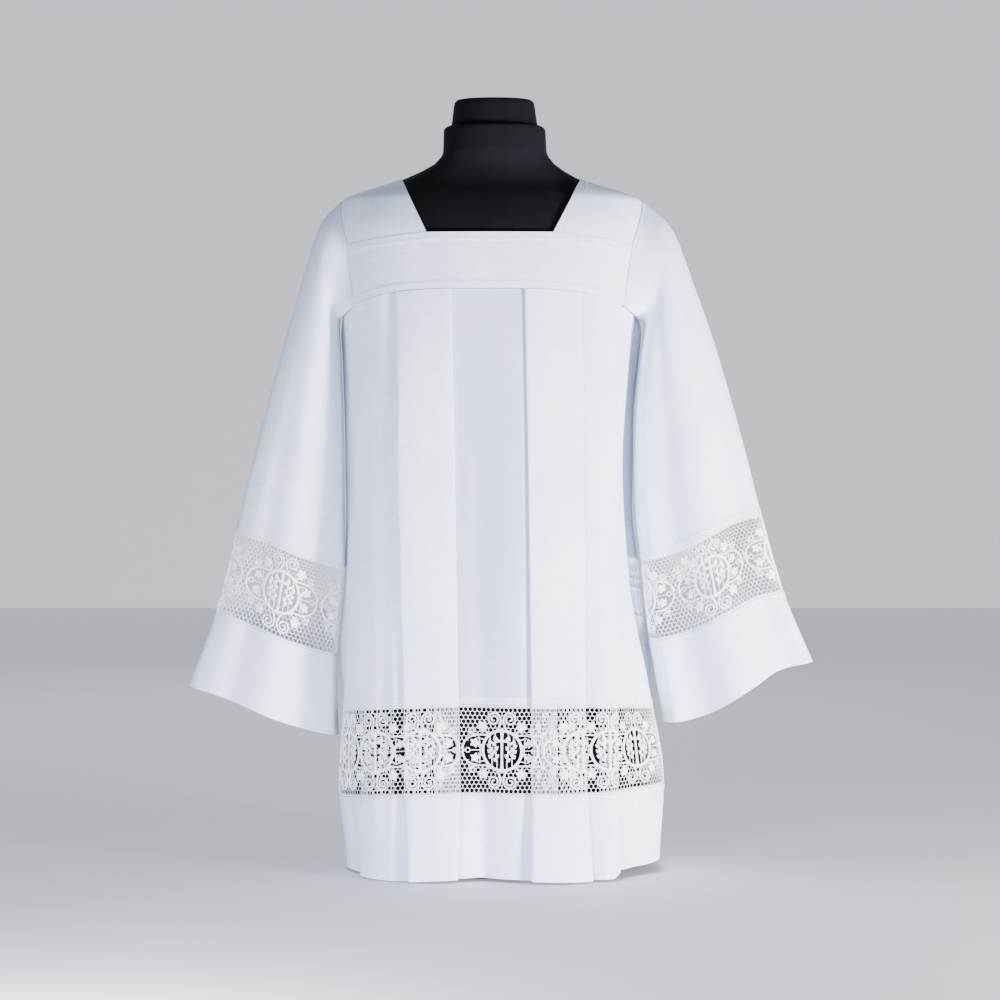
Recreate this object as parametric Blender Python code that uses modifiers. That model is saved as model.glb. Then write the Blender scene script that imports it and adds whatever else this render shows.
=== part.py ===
"""A lace-banded surplice hanging on a black limbless dress form.

Metres, +Z up. The front faces -Y, and the wearer's right side is at -X. The form stands on z = 0.
Every cloth piece is an open grid of points given a wall by Solidify. The body is a plan-view path with
real three-layer pleats, the sleeves are rings square to the arm, and the yoke lies on the form's torso.
"""

import math

import bmesh
import bpy
import numpy as np

CLOTH_WALL = 0.0012
SEAM_GAP = 0.0003
TORSO_POWER = 2.3
SLEEVE_POWER = 2.15
FORM_CLEARANCE = 0.0042

# Half plan of the worn cloth at each height: reach to -X and +X, depth to the front and to the back.
TORSO = (
    # z, right side, left side, front, back
    (0.000, -0.217, 0.223, 0.134, 0.130),
    (0.120, -0.228, 0.229, 0.134, 0.130),
    (0.240, -0.221, 0.211, 0.130, 0.126),
    (0.400, -0.217, 0.181, 0.126, 0.120),
    (0.560, -0.211, 0.171, 0.121, 0.116),
    (0.700, -0.216, 0.180, 0.121, 0.117),
    (0.771, -0.221, 0.188, 0.118, 0.116),
    (0.820, -0.229, 0.196, 0.115, 0.114),
    (0.880, -0.234, 0.204, 0.107, 0.108),
    (0.930, -0.222, 0.196, 0.082, 0.088),
    (0.963, -0.139, 0.112, 0.052, 0.060),
    (0.985, -0.096, 0.078, 0.050, 0.056),
)

# The back's cloth swells out beside the side seams and hangs against the sleeves: reach past the plan above.
SIDE_SWELL = (
    # z, right side, left side
    (0.229, 0.000, 0.000),
    (0.300, 0.012, 0.014),
    (0.420, 0.006, 0.018),
    (0.490, 0.008, 0.015),
    (0.570, 0.011, 0.018),
    (0.650, 0.010, 0.015),
    (0.717, 0.009, 0.016),
    (0.745, 0.008, 0.014),
    (0.771, 0.000, 0.000),
)
SWELL_TURN, SWELL_STEPS = math.pi / 6, 3

# The dress form below the chest and above the shoulders, in the same columns.
FORM_LOWER = (
    (0.000, -0.168, 0.152, 0.098, 0.094),
    (0.020, -0.184, 0.170, 0.107, 0.103),
    (0.120, -0.206, 0.198, 0.116, 0.112),
    (0.240, -0.202, 0.184, 0.114, 0.110),
    (0.400, -0.184, 0.154, 0.104, 0.100),
    (0.560, -0.172, 0.138, 0.098, 0.094),
    (0.700, -0.190, 0.158, 0.106, 0.104),
)
FORM_NECK = (
    (1.000, -0.081, 0.064, 0.056, 0.056),
    (1.031, -0.080, 0.062, 0.056, 0.055),
    (1.035, -0.076, 0.058, 0.052, 0.051),
    (1.036, -0.070, 0.052, 0.047, 0.046),
    (1.069, -0.065, 0.046, 0.042, 0.042),
    (1.072, -0.062, 0.043, 0.039, 0.039),
)
FORM_POINTS = 24

# Heights of the body's cross seams at the right side, the front and the left side.
BODY_EDGES = {
    "lace_top": (0.226, 0.240, 0.229),
    "lace_bottom": (0.104, 0.118, 0.121),
    "hem": (0.003, 0.006, 0.015),
}
LACE_TOP, LACE_BOTTOM, HEM = 0.240, 0.118, 0.003

# Pleats from -X to +X, each with its two edges at the yoke, at the lace's two edges and at the hem.
PLEAT_HEIGHTS = (HEM, LACE_BOTTOM, LACE_TOP, 0.800)
PLEATS = (
    # kind, first edge at those heights, second edge at those heights
    ("knife_right", (-0.187, -0.188, -0.189, -0.199), (-0.142, -0.143, -0.143, -0.162)),
    ("box", (-0.120, -0.128, -0.129, -0.143), (-0.058, -0.055, -0.058, -0.067)),
    ("box", (0.040, 0.041, 0.040, 0.032), (0.120, 0.114, 0.112, 0.109)),
    ("knife_left", (0.136, 0.133, 0.132, 0.130), (0.156, 0.156, 0.157, 0.164)),
)
PLEAT_LIFTS = (0.0066, 0.0042, 0.0036, 0.0021)
UNDERLAY_GAP = 0.0018
SIDE_SEAM_TRIM = 0.0016

YOKE_TOP, YOKE_BOTTOM = 0.880, 0.803
YOKE_DROP = 0.032
YOKE_STEPS, SHOULDER_STEPS = 18, 14
NECK_ANGLE, ARMHOLE_ANGLE = math.radians(20), math.radians(62)
NECK_TOP, BACK_NECK_RISE = 0.9625, 0.024
YOKE_LIFT = 0.0008
ARMHOLE_TOP, ARMHOLE_CORNER = 0.930, 0.866
ARMHOLE_STEP, UNDERARM_LIFT = 0.0014, 0.0013
ARMHOLE_UPPER_TURN, ARMHOLE_LOWER_TURN = math.radians(70), math.radians(125)

# Sleeve rings from the armhole down: outer and inner edge as (x, z), half depth, and the sway of the edge.
SLEEVE_RIGHT = (
    # outer x, outer z, inner x, inner z, half depth, sway
    (-0.2530, 0.897, -0.2265, 0.761, 0.060, 0.000),
    (-0.2810, 0.809, -0.2235, 0.712, 0.059, 0.000),
    (-0.3050, 0.727, -0.2210, 0.647, 0.056, 0.000),
    (-0.3310, 0.630, -0.2195, 0.566, 0.054, 0.000),
    (-0.3530, 0.543, -0.2190, 0.488, 0.052, 0.001),
    (-0.3700, 0.472, -0.2190, 0.421, 0.051, 0.002),
    (-0.3990, 0.358, -0.2300, 0.298, 0.050, 0.002),
    (-0.4365, 0.256, -0.2280, 0.186, 0.050, 0.003),
)
SLEEVE_LEFT = (
    (0.2380, 0.893, 0.2010, 0.760, 0.060, 0.000),
    (0.2690, 0.816, 0.1945, 0.712, 0.059, 0.000),
    (0.2990, 0.731, 0.1890, 0.652, 0.056, 0.001),
    (0.3270, 0.636, 0.1870, 0.572, 0.054, 0.002),
    (0.3480, 0.558, 0.1885, 0.496, 0.052, 0.004),
    (0.3640, 0.495, 0.1960, 0.432, 0.051, 0.005),
    (0.3950, 0.388, 0.2085, 0.319, 0.050, 0.006),
    (0.4365, 0.289, 0.2280, 0.205, 0.050, 0.010),
)
SLEEVE_LACE_TOP, SLEEVE_LACE_BOTTOM = 6, 7
SLEEVE_POINTS, FINE_STEPS = 26, 10
SLEEVE_SEAM_TRIM = 0.002
SLEEVE_FOLDS = (
    # share of the way from the outer to the inner edge, width, height at the cuff
    (0.26, 0.10, -0.012),
    (0.52, 0.12, 0.010),
    (0.80, 0.09, -0.008),
)

# The largest gaps of one lace repeat, from its centre: offset along and up, width and height.
LACE_REPEAT = 0.1175
LACE_GAPS = (
    # along, up, width, height
    (-0.0105, 0.0125, 0.0130, 0.0190),
    (0.0105, 0.0125, 0.0130, 0.0190),
    (-0.0105, -0.0125, 0.0130, 0.0190),
    (0.0105, -0.0125, 0.0130, 0.0190),
    (-0.0400, 0.0125, 0.0100, 0.0190),
    (0.0400, 0.0125, 0.0100, 0.0190),
    (-0.0400, -0.0125, 0.0100, 0.0190),
    (0.0400, -0.0125, 0.0100, 0.0190),
)
# The lace's stretches that show on the body, and the medallion that each one carries.
LACE_SHOWN = (
    # first and last corner of the fold path, the medallion's x, its number from the middle
    (0, 1, -0.210, -4),
    (5, 7, -0.171, -3),
    (11, 13, -0.109, -2),
    (17, 18, 0.001, 0),
    (22, 24, 0.111, 2),
    (28, 30, 0.148, 3),
    (34, 35, 0.185, 4),
)
LEAST_GAP = 0.0046
LEAST_COLUMN = 0.0016

COLLECTION = "Surplice on dress form"


def clear_scene():
    for old in list(bpy.data.objects):
        bpy.data.objects.remove(old, do_unlink=True)


def material(name, colour, roughness, sheen=0.0):
    made = bpy.data.materials.new(name)
    made.use_nodes = True
    shader = made.node_tree.nodes["Principled BSDF"]
    shader.inputs["Base Color"].default_value = (*colour, 1.0)
    shader.inputs["Roughness"].default_value = roughness
    shader.inputs["Metallic"].default_value = 0.0
    shader.inputs["Sheen Weight"].default_value = sheen
    return made


def smooth_column(table, column, z):
    """A table's column at height z, by a cubic through its rows that doesn't overshoot."""
    heights = np.array([row[0] for row in table])
    values = np.array([row[column] for row in table])
    slopes = np.diff(values) / np.diff(heights)
    tangents = np.zeros(len(values))
    same_way = slopes[:-1] * slopes[1:] > 0
    tangents[1:-1][same_way] = 2 / (1 / slopes[:-1][same_way] + 1 / slopes[1:][same_way])
    z = np.clip(z, heights[0], heights[-1])
    k = np.clip(np.searchsorted(heights, z) - 1, 0, len(slopes) - 1)
    step = heights[k + 1] - heights[k]
    t = (z - heights[k]) / step
    start, end = tangents[k] * step, tangents[k + 1] * step
    rise = values[k + 1] - values[k]
    return values[k] + t * start + t * t * (3 * rise - 2 * start - end) + t**3 * (start + end - 2 * rise)


def signed_power(value, power):
    return math.copysign(abs(value) ** power, value)


class HalfPlan:
    """One half of the worn cloth's plan, seen from outside it: angle 0 is its middle, -90 and 90 its sides."""

    def __init__(self, z, back=False, table=TORSO):
        left, right, front, rear = (float(smooth_column(table, column, z)) for column in (1, 2, 3, 4))
        self.turn = -1 if back else 1
        self.centre = (left + right) / 2
        self.reach = (right - left) / 2
        self.depth = rear if back else front
        swells = back and table is TORSO
        self.swell = [float(smooth_column(SIDE_SWELL, k, z)) if swells else 0.0 for k in (1, 2)]

    def angle(self, x):
        share = max(-0.985, min(0.985, (x - self.centre) / self.reach))
        return math.asin(signed_power(share, TORSO_POWER / 2))

    def point(self, angle, lift=0.0):
        across = signed_power(math.sin(angle), 2 / TORSO_POWER)
        out = signed_power(math.cos(angle), 2 / TORSO_POWER)
        normal_x = signed_power(across, TORSO_POWER - 1) / self.reach
        normal_y = -signed_power(out, TORSO_POWER - 1) / self.depth
        size = math.hypot(normal_x, normal_y)
        x = self.centre + self.reach * across + lift * normal_x / size
        y = -self.depth * out + lift * normal_y / size
        share = min(1.0, (math.pi / 2 - abs(angle)) / SWELL_TURN)
        swell = self.swell[int(angle > 0)] * 6.75 * share * (1 - share) ** 2
        return x + math.copysign(swell, angle), self.turn * y


def torso_point(angle, z, lift=0.0):
    """A point on the worn cloth: angle 0 is the front, 90 degrees the wearer's left, 180 the back."""
    angle = (angle + math.pi) % (2 * math.pi) - math.pi
    back = abs(angle) > math.pi / 2
    if back:
        angle = math.copysign(math.pi, angle) - angle
    return (*HalfPlan(z, back).point(angle, lift), z)


def sheet(name, rows, skin, collection, open_cells=(), wall=CLOTH_WALL, closed=False):
    """A cloth wall through a grid of points. Cells in open_cells, as (row, column), are left out."""
    mesh = bpy.data.meshes.new(name)
    form = bmesh.new()
    grid = [[form.verts.new(point) for point in row] for row in rows]
    count = len(rows[0])
    for i in range(len(rows) - 1):
        for j in range(count if closed else count - 1):
            if (i, j) in open_cells:
                continue
            k = (j + 1) % count
            a, b, c, d = grid[i][j], grid[i][k], grid[i + 1][k], grid[i + 1][j]
            # The diagonals lean the same way in space, so that the layers of a pleat stay apart.
            for corners in ((a, b, c), (a, c, d)) if b.co.x >= a.co.x else ((a, b, d), (b, c, d)):
                form.faces.new(corners)
    form.normal_update()
    form.to_mesh(mesh)
    form.free()
    mesh.materials.append(skin)
    mesh.shade_smooth()
    made = bpy.data.objects.new(name, mesh)
    collection.objects.link(made)
    solid = made.modifiers.new("wall", "SOLIDIFY")
    solid.thickness = wall
    solid.offset = 0.0
    return made


# ---------------------------------------------------------------- the dress form


def dress_form(skin, collection):
    rows = [row for row in FORM_LOWER]
    for row in TORSO[8:]:
        inset = FORM_CLEARANCE
        rows.append((row[0], row[1] + inset, row[2] - inset, row[3] - inset, row[4] - inset))
    chest = (0.800, -0.214, 0.182, 0.109, 0.108)
    rows.insert(len(FORM_LOWER), chest)
    rows += FORM_NECK
    heights = [0.0, 0.006, 0.02, 0.07, 0.12, 0.18, 0.24, 0.32, 0.40, 0.48, 0.56, 0.63, 0.70, 0.76, 0.80]
    heights += [0.84, 0.88, 0.905, 0.93, 0.947, 0.963, 0.974, 0.985, 1.0]
    heights += [row[0] for row in FORM_NECK[1:]]
    form = bmesh.new()
    rings = []
    for z in heights:
        halves = HalfPlan(z, table=rows), HalfPlan(z, back=True, table=rows)
        ring = []
        for j in range(FORM_POINTS):
            half = halves[j >= FORM_POINTS // 2]
            angle = math.pi * (j % (FORM_POINTS // 2)) / (FORM_POINTS // 2) - math.pi / 2
            ring.append(form.verts.new((*half.point(angle * half.turn), z)))
        rings.append(ring)
    for lower, upper in zip(rings, rings[1:]):
        for j in range(FORM_POINTS):
            k = (j + 1) % FORM_POINTS
            form.faces.new((lower[j], lower[k], upper[k], upper[j]))
    form.faces.new(reversed(rings[0]))
    form.faces.new(rings[-1])
    mesh = bpy.data.meshes.new("dress_form")
    form.normal_update()
    form.to_mesh(mesh)
    form.free()
    mesh.materials.append(skin)
    mesh.shade_smooth()
    mesh.set_sharp_from_angle(angle=math.radians(50))
    made = bpy.data.objects.new("dress_form", mesh)
    collection.objects.link(made)


# ---------------------------------------------------------------- the yoke and shoulders


def yoke_bottom(angle):
    """Straight between the yoke's own columns, so that the body's top edge can follow it."""
    step = 2 * ARMHOLE_ANGLE / YOKE_STEPS
    low = math.floor(angle / step)
    heights = [YOKE_BOTTOM - YOKE_DROP * abs(math.sin(k * step)) ** (8 / TORSO_POWER) for k in (low, low + 1)]
    return heights[0] + (angle / step - low) * (heights[1] - heights[0])


def yoke_top(angle, back=False):
    """Level across the neck, then falling to the armhole."""
    share = max(0.0, (abs(angle) - NECK_ANGLE) / (ARMHOLE_ANGLE - NECK_ANGLE))
    neck = YOKE_TOP + (BACK_NECK_RISE if back else 0.0)
    return neck + share * (ARMHOLE_CORNER - neck)


def shoulder_edge_height(along):
    """Height of the armhole's edge over the shoulder, from its front corner, 0, to its back corner, 1."""
    return ARMHOLE_CORNER + (ARMHOLE_TOP - ARMHOLE_CORNER) * math.sin(math.pi * along) ** 0.75


def yoke(name, back, skin, collection):
    angles = [ARMHOLE_ANGLE * (2 * k / YOKE_STEPS - 1) for k in range(YOKE_STEPS + 1)]
    rows = []
    for up in (0.0, 0.33, 0.67, 1.0):
        row = []
        for angle in angles:
            low, high = yoke_bottom(angle) + SEAM_GAP / 2, yoke_top(angle, back)
            turned = math.pi - angle if back else angle
            row.append(torso_point(turned, low + up * (high - low), YOKE_LIFT))
        rows.append(row)
    sheet(name, rows, skin, collection)


def neck_place(side, along):
    """The torso's angle and height at the neck's edge, from its front corner, 0, over the shoulder to its back
    corner, 1. Each half of the edge is straight, seen from the front."""
    low = YOKE_TOP + (BACK_NECK_RISE if along > 0.5 else 0.0)
    share = 4 * along * (1 - along)
    z = low + share * (NECK_TOP - low)
    corner, top, here = (HalfPlan(height) for height in (low, NECK_TOP, z))
    start = side * corner.centre + corner.reach * signed_power(math.sin(NECK_ANGLE), 2 / TORSO_POWER)
    end = side * top.centre + top.reach
    across = (start + share * (end - start) - side * here.centre) / here.reach
    angle = math.asin(min(1.0, across) ** (TORSO_POWER / 2))
    return (math.pi - angle if along > 0.5 else angle), z


def shoulder(name, side, skin, collection):
    """side is 1 at the wearer's left, -1 at the right. Rows run from the neck out, columns front to back."""
    rows = []
    for out in (0.0, 0.18, 0.4, 0.6, 0.8, 1.0):
        row = []
        for step in range(SHOULDER_STEPS + 1):
            neck_angle, neck_z = neck_place(side, step / SHOULDER_STEPS)
            along = 0.5 - 0.5 * math.cos(math.pi * step / SHOULDER_STEPS)
            arm_angle = ARMHOLE_ANGLE + along * (math.pi - 2 * ARMHOLE_ANGLE)
            arm_z = shoulder_edge_height(along)
            angle = neck_angle + out * (arm_angle - neck_angle)
            z = neck_z + out * (arm_z - neck_z) + SEAM_GAP + 0.0003
            row.append(torso_point(side * angle, z, YOKE_LIFT))
        rows.append(row)
    sheet(name, rows, skin, collection)


# ---------------------------------------------------------------- the pleated body


def edge_height(edge, angle):
    """Height of a cross seam round the body, alike on the front and the back."""
    right, middle, left = BODY_EDGES[edge]
    side = left if angle > 0 else right
    return middle + (side - middle) * abs(math.sin(angle)) ** 3


def fold_corners(z):
    """The path's corners at height z, as (x, layer): 0 is the ground, 2 the top of a pleat. None is a side seam."""
    corners = [(None, 0)]
    for kind, first, second in PLEATS:
        a = float(np.interp(z, PLEAT_HEIGHTS, first))
        b = float(np.interp(z, PLEAT_HEIGHTS, second))
        if kind == "knife_right":
            corners += [(a, 0), (b, 0), (b, 1), (a, 1), (a, 2), (b, 2)]
        elif kind == "knife_left":
            corners += [(a, 2), (b, 2), (b, 1), (a, 1), (a, 0), (b, 0)]
        else:
            meet = (a + b) / 2
            corners += [(a, 0), (meet - UNDERLAY_GAP, 0), (meet - UNDERLAY_GAP, 1), (a, 1), (a, 2)]
            corners += [(meet, 2), (b, 2), (b, 1), (meet + UNDERLAY_GAP, 1), (meet + UNDERLAY_GAP, 0), (b, 0)]
    corners.append((None, 0))
    return corners


def body_point(column, z, back):
    """column is a corner's number plus the share of the way to the next one."""
    half = HalfPlan(z, back)
    corners = fold_corners(z)
    start = min(int(column), len(corners) - 2)
    share = column - start
    angles = []
    for k in (start, start + 1):
        x = corners[k][0]
        side = math.pi / 2 - SIDE_SEAM_TRIM
        angles.append(half.angle(x) if x is not None else (-side if k == 0 else side))
    angle = angles[0] + share * (angles[1] - angles[0])
    layer = corners[start][1] + share * (corners[start + 1][1] - corners[start][1])
    lift = layer * float(np.interp(z, PLEAT_HEIGHTS, PLEAT_LIFTS)) - 0.0012
    return angle, half.point(angle, lift)


def plain_columns(longest):
    """Path columns for cloth with no cut gaps: every corner, and steps on the stretches longer than that."""
    z = (LACE_TOP + YOKE_BOTTOM) / 2
    columns = []
    count = len(fold_corners(z))
    for k in range(count - 1):
        start, end = body_point(k, z, False)[1], body_point(k + 0.999999, z, False)[1]
        fewest = SWELL_STEPS if k in (0, count - 2) else 1
        steps = max(fewest, round(math.dist(start, end) / longest))
        columns += [k + step / steps for step in range(steps)]
    return columns + [count - 1]


def lace_places(columns, points):
    """Each column's place in the lace's pattern: true to size where it shows, and taken up under the pleats."""
    lengths = np.concatenate([[0], np.cumsum(np.hypot(*np.diff(points, axis=0).T))])
    known, pattern = [], []
    for first, last, x, number in LACE_SHOWN:
        shown = (columns >= first) & (columns <= last)
        middle = np.interp(x, points[shown, 0], lengths[shown])
        for end in (first, last):
            at = np.interp(end, columns, lengths)
            known.append(at)
            pattern.append(number * LACE_REPEAT + at - middle)
    return np.interp(lengths, known, pattern)


def lace_columns(longest):
    """The plain columns and those at the sides of each gap, with each column's place in the pattern."""
    z = (LACE_TOP + LACE_BOTTOM) / 2
    fine = np.linspace(0, len(fold_corners(z)) - 1, 1200)
    points = np.array([body_point(column, z, False)[1] for column in fine])
    places = lace_places(fine, points)
    columns = list(np.interp(plain_columns(longest), fine, places))
    add_gap_columns(columns, 0.0)
    return [float(np.interp(at, places, fine)) for at in columns], columns


def add_gap_columns(columns, middle):
    """Adds a column at each side of every gap, unless one is there already. middle is a medallion's place."""
    start, end = columns[0], columns[-1]
    repeats = int(max(end - middle, middle - start) / LACE_REPEAT) + 1
    for repeat in range(-repeats, repeats + 1):
        for along, _, width, _ in LACE_GAPS:
            for edge in (along - width / 2, along + width / 2):
                at = middle + repeat * LACE_REPEAT + edge
                if start < at < end and min(abs(at - other) for other in columns) > LEAST_COLUMN:
                    columns.append(at)
    columns.sort()


def gap_rows(height):
    """Heights of the rows of a lace band from its middle, with one at each gap's top and foot."""
    edges = {-height / 2, height / 2}
    for _, up, _, tall in LACE_GAPS:
        edges |= {up - tall / 2, up + tall / 2}
    return sorted(edges)


def is_gap(along, up, width, tall):
    """Whether a grid cell with this middle and size lies in a gap of the pattern."""
    if min(width, tall) < LEAST_GAP:
        return False
    along = (along + LACE_REPEAT / 2) % LACE_REPEAT - LACE_REPEAT / 2
    return any(abs(along - a) < w / 2 and abs(up - b) < t / 2 for a, b, w, t in LACE_GAPS)


def gap_cells(lengths, ups):
    """The cells of a lace grid that are cut out."""
    cells = set()
    for j in range(len(lengths) - 1):
        width, along = lengths[j + 1] - lengths[j], (lengths[j + 1] + lengths[j]) / 2
        for i in range(len(ups) - 1):
            if is_gap(along, (ups[i] + ups[i + 1]) / 2, width, ups[i + 1] - ups[i]):
                cells.add((i, j))
    return cells


def body_piece(name, back, shares, columns, top, bottom, skin, collection, open_cells=()):
    """shares run from the piece's lower edge, 0, to its upper edge, 1."""
    rows = []
    for share in shares:
        row = []
        for column in columns:
            angle = body_point(column, LACE_TOP, back)[0]
            low = edge_height(bottom, angle)
            if top == "yoke":
                high = YOKE_BOTTOM
                for _ in range(3):
                    high = yoke_bottom(body_point(column, high, back)[0])
                high -= SEAM_GAP / 2
            else:
                high = edge_height(top, angle)
            high -= SEAM_GAP / 2
            low += SEAM_GAP / 2 if bottom != "hem" else 0.0
            z = low + share * (high - low)
            row.append((*body_point(column, z, back)[1], z))
        rows.append(row)
    sheet(name, rows, skin, collection, open_cells)


def body(back, cloth, lace, collection):
    end = "back" if back else "front"
    columns = plain_columns(0.034)
    upper = (0.0, 0.2, 0.45, 0.7, 0.9, 0.955, 1.0)
    body_piece("body_" + end, back, upper, columns, "yoke", "lace_top", cloth, collection)
    height = LACE_TOP - LACE_BOTTOM
    lace_at, lengths = lace_columns(0.070)
    ups = gap_rows(height)
    cells = gap_cells(lengths, ups)
    shares = [up / height + 0.5 for up in ups]
    body_piece("lace_" + end, back, shares, lace_at, "lace_top", "lace_bottom", lace, collection, cells)
    body_piece("hem_" + end, back, (0.0, 1.0), columns, "lace_bottom", "hem", cloth, collection)


# ---------------------------------------------------------------- the sleeves


def armhole_place(angle):
    """The armhole's edge at a ring angle from its top: the torso's angle and height there."""
    turned = abs((angle + math.pi) % (2 * math.pi) - math.pi)
    if turned < ARMHOLE_UPPER_TURN:
        along = 0.5 - 0.5 * turned / ARMHOLE_UPPER_TURN
        place, z = ARMHOLE_ANGLE + along * (math.pi - 2 * ARMHOLE_ANGLE), shoulder_edge_height(along)
    elif turned < ARMHOLE_LOWER_TURN:
        share = (turned - ARMHOLE_UPPER_TURN) / (ARMHOLE_LOWER_TURN - ARMHOLE_UPPER_TURN)
        foot = yoke_bottom(ARMHOLE_ANGLE) + UNDERARM_LIFT
        place, z = ARMHOLE_ANGLE, ARMHOLE_CORNER + share * (foot - ARMHOLE_CORNER)
    else:
        share = (turned - ARMHOLE_LOWER_TURN) / (math.pi - ARMHOLE_LOWER_TURN)
        place = ARMHOLE_ANGLE + share * (math.pi / 2 - ARMHOLE_ANGLE)
        z = yoke_bottom(place) + UNDERARM_LIFT
    return (math.pi - place if math.sin(angle) < 0 else place), z


def armhole_ring(side, angles):
    """The sleeve's first ring, just outside the armhole. Angle 0 is its top, 90 degrees its front."""
    ring = []
    for angle in angles:
        place, z = armhole_place(angle)
        x, y, z = torso_point(side * place, z, YOKE_LIFT)
        ring.append((x + side * ARMHOLE_STEP, y, z))
    return np.array(ring)


def sleeve_ring(row, side, angles, fall):
    """One ring: outer edge at angle 0, front at 90 degrees, inner edge at 180. fall is 0 to 1 down the arm."""
    outer_x, outer_z, inner_x, inner_z, half_depth, sway = row
    outer, inner = np.array((outer_x, 0.0, outer_z)), np.array((inner_x, 0.0, inner_z))
    ring = []
    for angle in angles:
        across = signed_power(math.cos(angle), 2 / SLEEVE_POWER)
        out = signed_power(math.sin(angle), 2 / SLEEVE_POWER)
        share = (1 - across) / 2
        fold = sum(high * math.exp(-(((share - at) / wide) ** 2)) for at, wide, high in SLEEVE_FOLDS)
        depth = half_depth * out + math.copysign(fold * fall, out) * abs(out) ** 0.5
        point = outer + (inner - outer) * share
        ring.append((point[0], -depth, point[2] + sway * math.sin(2 * math.pi * share)))
    return np.array(ring)


def ring_angles(count, half=None):
    """Angles round a sleeve ring: all of it, or its front or back half."""
    if half is None:
        return [2 * math.pi * k / count for k in range(count)]
    start = 0 if half == "front" else math.pi
    span = math.pi - 2 * SLEEVE_SEAM_TRIM
    return [start + SLEEVE_SEAM_TRIM + span * k / (count // 2) for k in range(count // 2 + 1)]


def sleeve_rings(table, side, angles):
    last = len(table) - 1
    return [armhole_ring(side, angles)] + [
        sleeve_ring(row, side, angles, (k / last) ** 1.3) for k, row in enumerate(table)
    ]


def drawn_in(ring, other, length):
    """The ring moved towards another one by a length."""
    way = other - ring
    return ring + way * (length / np.linalg.norm(way, axis=1, keepdims=True))


def sleeve_lace(name, table, side, half, lace, collection):
    fine = sleeve_rings(table, side, ring_angles(SLEEVE_POINTS * FINE_STEPS, half))
    top, foot = fine[SLEEVE_LACE_TOP], fine[SLEEVE_LACE_BOTTOM]
    upper, lower = drawn_in(top, foot, SEAM_GAP / 2), drawn_in(foot, top, SEAM_GAP / 2)
    middle = (top + foot) / 2
    lengths = np.concatenate([[0], np.cumsum(np.linalg.norm(np.diff(middle, axis=0), axis=1))])
    centre = lengths[-1] / 2
    columns = list(lengths[::FINE_STEPS])
    add_gap_columns(columns, centre)
    height = LACE_TOP - LACE_BOTTOM
    ups = gap_rows(height)
    cells = gap_cells([at - centre for at in columns], ups)
    rows = []
    for up in ups:
        ring = lower + (up / height + 0.5) * (upper - lower)
        rows.append([tuple(np.interp(at, lengths, ring[:, axis]) for axis in range(3)) for at in columns])
    sheet(f"sleeve_lace_{name}_{half}", rows, lace, collection, cells)


def sleeve(name, table, side, cloth, lace, collection):
    rings = sleeve_rings(table, side, ring_angles(SLEEVE_POINTS))
    top, foot = SLEEVE_LACE_TOP, SLEEVE_LACE_BOTTOM
    upper = [rings[0], (rings[0] + rings[1]) / 2] + rings[1:top]
    upper.append(drawn_in(rings[top], rings[top - 1], SEAM_GAP / 2))
    sheet("sleeve_" + name, upper, cloth, collection, closed=True)
    cuff = [drawn_in(rings[foot], rings[foot + 1], SEAM_GAP / 2), (rings[foot] + rings[-1]) / 2, rings[-1]]
    sheet("cuff_" + name, cuff, cloth, collection, closed=True)
    for half in ("front", "back"):
        sleeve_lace(name, table, side, half, lace, collection)


def main():
    clear_scene()
    collection = bpy.data.collections.new(COLLECTION)
    bpy.context.scene.collection.children.link(collection)
    cloth = material("white cloth", (0.84, 0.86, 0.90), 0.80, 0.2)
    lace = material("white lace", (0.86, 0.88, 0.91), 0.85)
    cover = material("black cover", (0.012, 0.014, 0.018), 0.75)
    dress_form(cover, collection)
    yoke("yoke_front", False, cloth, collection)
    yoke("yoke_back", True, cloth, collection)
    shoulder("shoulder_right", -1, cloth, collection)
    shoulder("shoulder_left", 1, cloth, collection)
    body(False, cloth, lace, collection)
    body(True, cloth, lace, collection)
    sleeve("right", SLEEVE_RIGHT, -1, cloth, lace, collection)
    sleeve("left", SLEEVE_LEFT, 1, cloth, lace, collection)


main()
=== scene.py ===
"""Looks for a lace-banded surplice that hangs on a black limbless dress form.

Metres, +Z up. The front faces -Y, and the wearer's right side is at -X. The cloth follows the solids' own
curves, with its folds rounded and its creases placed one by one. The lace is drawn flat, as threads, bars and
leaves, and is then laid on its band of cloth.
"""

import math

import bpy
import numpy as np
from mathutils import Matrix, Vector


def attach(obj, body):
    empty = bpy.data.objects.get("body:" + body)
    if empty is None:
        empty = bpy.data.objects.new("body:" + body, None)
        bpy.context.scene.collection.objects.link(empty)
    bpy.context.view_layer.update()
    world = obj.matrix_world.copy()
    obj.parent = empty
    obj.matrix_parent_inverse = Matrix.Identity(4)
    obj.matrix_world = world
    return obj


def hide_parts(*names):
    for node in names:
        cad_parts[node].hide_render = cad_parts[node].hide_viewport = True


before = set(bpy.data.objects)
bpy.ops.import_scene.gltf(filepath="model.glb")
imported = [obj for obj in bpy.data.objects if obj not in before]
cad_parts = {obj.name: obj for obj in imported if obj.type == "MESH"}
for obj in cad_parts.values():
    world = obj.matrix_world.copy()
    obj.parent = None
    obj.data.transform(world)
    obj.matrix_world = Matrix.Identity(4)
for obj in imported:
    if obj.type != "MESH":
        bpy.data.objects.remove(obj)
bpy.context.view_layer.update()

# ---------------- sizes shared with the solids


def thousandths(*rows):
    """The rows of a table that is written in thousandths: millimetres, or shares of one."""
    return tuple(tuple(value / 1000 for value in row) for row in rows)


TORSO_POWER, SLEEVE_POWER = 2.3, 2.15
FORM_CLEARANCE = 0.0042
SEAM_GAP = 0.0003

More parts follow.
